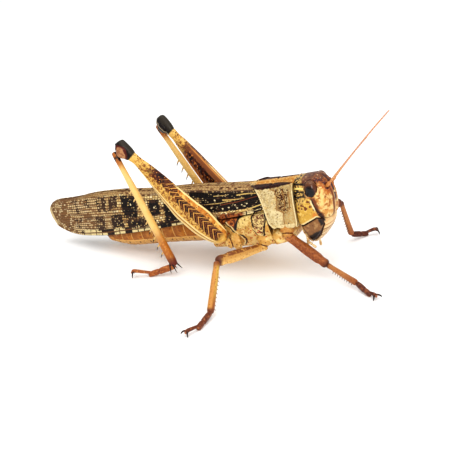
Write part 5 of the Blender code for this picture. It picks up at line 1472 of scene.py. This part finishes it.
knee = club.step("run", 22.5, 22.8, 0.2, 0.6)
# The knee is black; the grey-olive left on its top is a painted sheen.
club.coat((52, 46, 38), knee)
club.coat((22, 13, 12), knee, club.step("tall", 1.1, 0.6, 0.5, 0.9))
outer_knee = club.every(knee, club.step("inner", 0.2, -0.1))
club.coat((84, 30, 22), outer_knee, club.step("lobe", 1.4, 1.15, 0.3, 0.6))
club.coat((172, 124, 84), outer_knee, club.step("lobe", 0.98, 0.8, 0.4, 0.7))
club.coat((140, 92, 62), outer_knee, club.step("lobe", 1.0, 0.8), club.blots(0.6, 3, 0.44, 0.56))
club.coat((176, 160, 130), knee, club.step("inner", 0.0, 0.3),
          club.step(club.off(club.ragged("tall", 0.1, 0.8)), 0.1, 0.05))
club.raise_by(club.cloud(0.25, 3), 0.03)
club.dry(club.cloud(0.9), 0.26, 0.42)

spindle = Finish("mid_thigh_cuticle", (188, 140, 72), 0.36)
spindle.coat((218, 176, 104), spindle.step("tall", 0.3, -0.5))
spindle.coat((178, 124, 60), spindle.blots(0.3, 3, 0.52, 0.66))
spindle.coat((118, 66, 30), spindle.step("tall", 0.42, 0.7, 0.25, 0.8),
             spindle.blots(0.5, 3, 0.36, 0.5))
spindle.coat((120, 70, 34), spindle.pores(0.42, 0.2, 0.12))
spindle.coat((90, 46, 26), spindle.step("share", 0.9, 0.99, 0.03, 0.8))
spindle.raise_by(spindle.cloud(0.25, 3), 0.03)
rusty = Finish("fore_thigh_cuticle", (120, 60, 26), 0.38)
rusty.coat((146, 84, 40), rusty.step("tall", -0.2, 0.5, 0.3, 0.8))
rusty.coat((170, 106, 54), rusty.step("share", 0.24, 0.06, 0.08, 0.8))
rusty.coat((124, 62, 28), rusty.blots(0.4, 3, 0.5, 0.6))
rusty.coat((166, 100, 50), rusty.blots(0.3, 3, 0.55, 0.62, 0.7))
rusty.coat((82, 40, 20), rusty.pores(0.42, 0.22, 0.12))
rusty.coat((84, 40, 22), rusty.step("share", 0.88, 0.99, 0.03, 0.8))
rusty.raise_by(rusty.cloud(0.25, 3), 0.03)
for leg, kind, side, joints in legs():
    hip, knee = joints["hip"], joints["knee"]
    length = float(np.linalg.norm(knee - hip))
    place = along_limb(hip, knee, thigh_back(kind, side, hip, knee))
    if kind == "hind":
        thigh = shell("thigh_" + leg, limb_rings(THIGH[kind], length, 300, 130, 2.0, 0.7),
                      hind_thigh_relief(length), thigh_marks(length, side), place)
    else:
        thigh = shell("thigh_" + leg, limb_rings(THIGH[kind], length, 110, 72, 2.3, 0.5),
                      lambda p: 0.05 * bump_up(abs(p[:, 1]) - 0.55, 0.08) - 0.02,
                      lambda p: {"share": p[:, 0] / length, "tall": p[:, 2]}, place)
    fit({"hind": club, "mid": spindle, "fore": rusty}[kind].on(thigh), "thigh_shell", "femur_" + leg)

# ---------------------------------------------------------------- shanks
# Straight hard tubes. The hind pair carry two rows of stiff dark-tipped spines and four spurs at the
# ankle; the four others carry rows of short bristle-like spines.
# stations as on the thighs
SHANK = {
    "fore": [(0.0, 0.4, 0.4, 0.36), (0.06, 0.46, 0.45, 0.41), (0.16, 0.42, 0.42, 0.38),
             (0.3, 0.44, 0.44, 0.4), (0.7, 0.51, 0.51, 0.46), (0.94, 0.57, 0.53, 0.49),
             (1.0, 0.4, 0.4, 0.4)],
    "mid": [(0.0, 0.5, 0.5, 0.46), (0.06, 0.6, 0.58, 0.52), (0.16, 0.54, 0.53, 0.48),
            (0.25, 0.6, 0.59, 0.53), (0.6, 0.66, 0.62, 0.56), (0.93, 0.68, 0.63, 0.58),
            (1.02, 0.48, 0.45, 0.47)],
    "hind": [(0.0, 0.45, 0.5, 0.42), (0.05, 0.52, 0.55, 0.48), (0.12, 0.48, 0.5, 0.46),
             (0.35, 0.61, 0.61, 0.56), (0.7, 0.69, 0.66, 0.62), (0.93, 0.8, 0.72, 0.71),
             (1.0, 0.66, 0.55, 0.6)]}
SHANK_BACK = {"fore": lambda side: (0.3, 0, 1), "mid": lambda side: (0, side, 0.3),
              "hind": lambda side: (-1, 0, 0)}


def thorn(root, tip, thick, bend=(0, 0, 0), sides=10):
    """A curved spine: its rings and how far out each point is."""
    root, tip, bend = (np.asarray(v, float) for v in (root, tip, bend))
    t = np.linspace(0, 1, 14)
    line = root + (tip - root) * t[:, None] + bend * (4 * t * (1 - t))[:, None]
    size = thick * np.clip(1 - t, 0, 1) ** 0.7 + 0.012
    return rod_rings(line, size, sides), round_each(t, sides)


def shank_spines(kind, length):
    """Root, tip, thickness and bow of every spine of a shank, in limb millimetres."""
    rows = []
    for side in (-1, 1):
        if kind == "hind":
            for i in range(9):
                s = length * (0.30 + 0.60 * (i + (0.4 if side > 0 else 0)) / 9)
                z = 0.42 + 0.1 * i / 9
                rows.append(((s - 0.05, side * 0.26, z - 0.12), (s + 0.78, side * 0.76, z + 0.84), 0.17,
                             (-0.07, 0.02 * side, 0.07)))
            for low, (dx, dy, z) in ((0.35, (0.9, 1.05, 0.75)), (-0.1, (1.1, 0.95, -0.45))):
                rows.append(((length * 0.955, side * 0.35, low), (length + dx, side * dy, z), 0.19,
                             (0, 0, 0.12)))
        else:
            for i in range(9):
                s = length * (0.25 + 0.7 * (i + (0.35 if side > 0 else 0)) / 9)
                far = 1.0 if kind == "mid" else 0.62
                rows.append(((s, side * 0.25, -0.3), (s + 0.3 * far, side * 0.5, -0.3 - 0.48 * far), 0.07,
                             (0, 0, -0.03)))
    return rows


shin = Finish("hind_shank_cuticle", (226, 190, 120), 0.34)
shin.coat((222, 176, 100), shin.step("lift", 0.05, -0.5, 0.2, 2.5), shin.blots(2.5, 3, 0.3, 0.7))
shin.coat((166, 98, 34), shin.step("share", 0.62, 0.82, 0.05, 1.5))
shin.coat((196, 132, 60), shin.step("share", 0.62, 0.8), shin.blots(0.4, 3, 0.5, 0.64))
shin.coat((170, 100, 40), shin.step("share", 0.17, 0.07, 0.03, 1.0))
shin.coat((98, 38, 22), shin.step("share", 0.88, 0.97, 0.02, 0.6))
shin.coat((30, 16, 12), shin.step("share", 0.12, 0.07), shin.blots(0.9, 2, 0.45, 0.55))
shin.coat((204, 168, 108), shin.step("out", 0.01, 0.1))
shin.coat((30, 14, 12), shin.step("out", 0.5, 0.64))
shin.raise_by(shin.cloud(0.25, 3), 0.03)
tan_shin = Finish("mid_shank_cuticle", (198, 158, 74), 0.36)
tan_shin.coat((144, 84, 36), tan_shin.step("share", 0.45, 0.92, 0.1, 1.5))
tan_shin.coat((190, 132, 64), tan_shin.step(tan_shin.off("lift"), 0.3, 0.55))
tan_shin.coat((156, 98, 46), tan_shin.blots(0.3, 3, 0.56, 0.66))
tan_shin.coat((128, 72, 34), tan_shin.step("share", 0.18, 0.04, 0.04, 1.0))
tan_shin.coat((110, 56, 28), tan_shin.step("share", 0.9, 0.98))
tan_shin.coat((50, 28, 18), tan_shin.step("out", 0.2, 0.4))
tan_shin.raise_by(tan_shin.cloud(0.25, 3), 0.03)
dark_shin = Finish("fore_shank_cuticle", (172, 116, 66), 0.38)
dark_shin.coat((140, 78, 38), dark_shin.step("share", 0.5, 0.98, 0.1, 1.5))
dark_shin.coat((158, 96, 50), dark_shin.blots(0.3, 3, 0.5, 0.62))
dark_shin.coat((96, 48, 26), dark_shin.step("share", 0.14, 0.03))
dark_shin.coat((50, 28, 18), dark_shin.step("out", 0.2, 0.4))
dark_shin.raise_by(dark_shin.cloud(0.25, 3), 0.03)
for leg, kind, side, joints in legs():
    hip, knee, ankle = (joints[j] for j in ("hip", "knee", "ankle"))
    start = knee
    if kind == "hind":
        out = (knee - hip) / np.linalg.norm(knee - hip)
        down = np.cross(np.cross(out, thigh_back(kind, side, hip, knee)), out)
        start = knee + out * 0.1 - down / np.linalg.norm(down) * 1.4
    length = float(np.linalg.norm(ankle - start))
    grid = limb_rings(SHANK[kind], length, 190 if kind == "hind" else 110, 48, 2.2, 0.35)
    flat = np.append(grid[..., 0].ravel() / length, [0, 1])
    parts = [(grid, {"out": 0.0, "share": flat, "lift": np.append(grid[..., 2].ravel(), [0, 0])})]
    for root, tip, thick, bow in shank_spines(kind, length):
        rings, far = thorn(root, tip, thick, bow)
        spur = root[0] > 0.94 * length
        parts.append((rings, {"out": 0.02 + far + 0.5 * spur, "share": 0.5, "lift": 0.5}))
    shank = cluster("shank_" + leg, parts, along_limb(start, ankle, SHANK_BACK[kind](side)))
    fit({"hind": shin, "mid": tan_shin, "fore": dark_shin}[kind].on(shank), "shank_shell", "tibia_" + leg)

# ---------------------------------------------------------------- feet
# Three joints each: two padded ones flat on the floor, then a long arched one that ends in two
# hooked claws with a soft pad between them.
# share of the padded part, then shares of its half width and half height
FOOT = [(0.0, 0.75, 0.7), (0.12, 0.86, 0.86), (0.3, 0.93, 0.97), (0.5, 0.95, 0.97), (0.6, 0.93, 0.95),
        (0.68, 0.72, 0.75), (0.76, 0.93, 0.88), (1.02, 0.98, 0.84), (1.12, 0.5, 0.5)]
FOOT_SIZE = {"fore": (0.48, 0.58), "mid": (0.5, 0.58), "hind": (0.5, 0.64)}
SOLE_GAP, SOLE_EDGE = 0.03, 14       # height of the flat of the sole, mm, and how sharply it turns
CLAW_REACH = {"fore": 1.0, "mid": 1.0, "hind": 0.45}
sole = {"hind": Finish("hind_foot_cuticle", (148, 80, 34), 0.36),
        "mid": Finish("mid_foot_cuticle", (100, 48, 25), 0.36),
        "fore": Finish("fore_foot_cuticle", (84, 38, 22), 0.36)}
for kind, foot_skin in sole.items():
    foot_skin.coat({"hind": (182, 118, 60), "mid": (150, 90, 50), "fore": (126, 70, 40)}[kind],
                      foot_skin.blots(0.4, 3, 0.5, 0.64))
    foot_skin.coat({"hind": (120, 60, 30), "mid": (74, 34, 20), "fore": (54, 24, 16)}[kind],
                      foot_skin.blots(0.5, 3, 0.56, 0.66))
    foot_skin.coat((150, 92, 62), foot_skin.step("under", 0.3, 0.1))
    foot_skin.coat((34, 17, 13), foot_skin.step("claw", 0.1, 0.4))
    foot_skin.raise_by(foot_skin.cloud(0.2, 3), 0.03)
for leg, kind, _, joints in legs():
    ankle, pad, claw_base = (joints[j] for j in ("ankle", "pad", "claw_base"))
    drop, far = joints["claw_drop"], CLAW_REACH[kind]
    run = (pad - ankle) / np.linalg.norm(pad - ankle)
    first = ankle - run * 0.1
    reach = np.linalg.norm(pad - first)
    half, high = FOOT_SIZE[kind]
    left = np.array((-run[1], run[0], 0)) / np.hypot(run[0], run[1])
    share = np.linspace(0, FOOT[-1][0], 90)
    wide, tall = (eased([(r[0], r[k]) for r in FOOT], share) for k in (1, 2))
    off = np.minimum(share, FOOT[-1][0] - share) * reach
    rounding = np.sqrt(np.clip(1 - (1 - np.clip(off / 0.3, 0, 1)) ** 2, 0.02, 1))
    turn = circle(40)[None, :, None]
    rings = ((first + run * (reach * share)[:, None])[:, None]
             + left * (half * wide * rounding)[:, None, None] * np.sin(turn)
             + np.array((0, 0, 1)) * (high * tall * rounding)[:, None, None] * np.cos(turn))
    rings[..., 2] = SOLE_GAP + np.log1p(np.exp((rings[..., 2] - SOLE_GAP) * SOLE_EDGE)) / SOLE_EDGE
    parts = [(rings, {"claw": 0.0, "under": np.append(rings[..., 2].ravel(), [1, 1])})]
    out = claw_base - pad
    ahead = np.array((out[0], out[1], 0)) / np.hypot(out[0], out[1])
    arch = [pad - run * 0.35 + (0, 0, 0.1), pad + out * 0.4 + (0, 0, 0.2), claw_base + (0, 0, 0.05),
            claw_base + ahead * 0.3 - (0, 0, drop * 0.08)]
    parts.append((rounded_rod(arch, [0.26, 0.28, 0.34, 0.3], 40, 28), {"claw": 0.0, "under": 1.0}))
    soft = claw_base + ahead * 0.5 - (0, 0, drop * 0.2)
    parts.append((rounded_rod([soft - ahead * 0.3, soft, soft + ahead * 0.22], [0.16, 0.24, 0.2], 24, 24),
                  {"claw": 0.0, "under": 0.0}))
    for side in (-1, 1):
        spread = np.array((-ahead[1], ahead[0], 0)) * side
        hook = [claw_base + spread * 0.12, claw_base + ahead * 0.55 * far + spread * 0.5,
                claw_base + ahead * 0.8 * far + spread * 0.8 - (0, 0, drop * 0.45),
                claw_base + ahead * 0.84 * far + spread * 0.9 - (0, 0, drop * 0.84)]
        line = through(hook, np.linspace(0, 3, 26))
        size = np.linspace(1, 0, 26) ** 0.6 * 0.17 + 0.02
        parts.append((rod_rings(line, size, 16),
                      {"claw": round_each(np.linspace(0, 1, 26), 16), "under": 1.0}))
    foot = cluster("foot_" + leg, parts, stand)
    fit(sole[kind].on(foot), "foot_shell", "tarsus_" + leg)

# ---------------------------------------------------------------- sizes
# The box of every shown piece but the floor, in metres.
low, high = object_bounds()
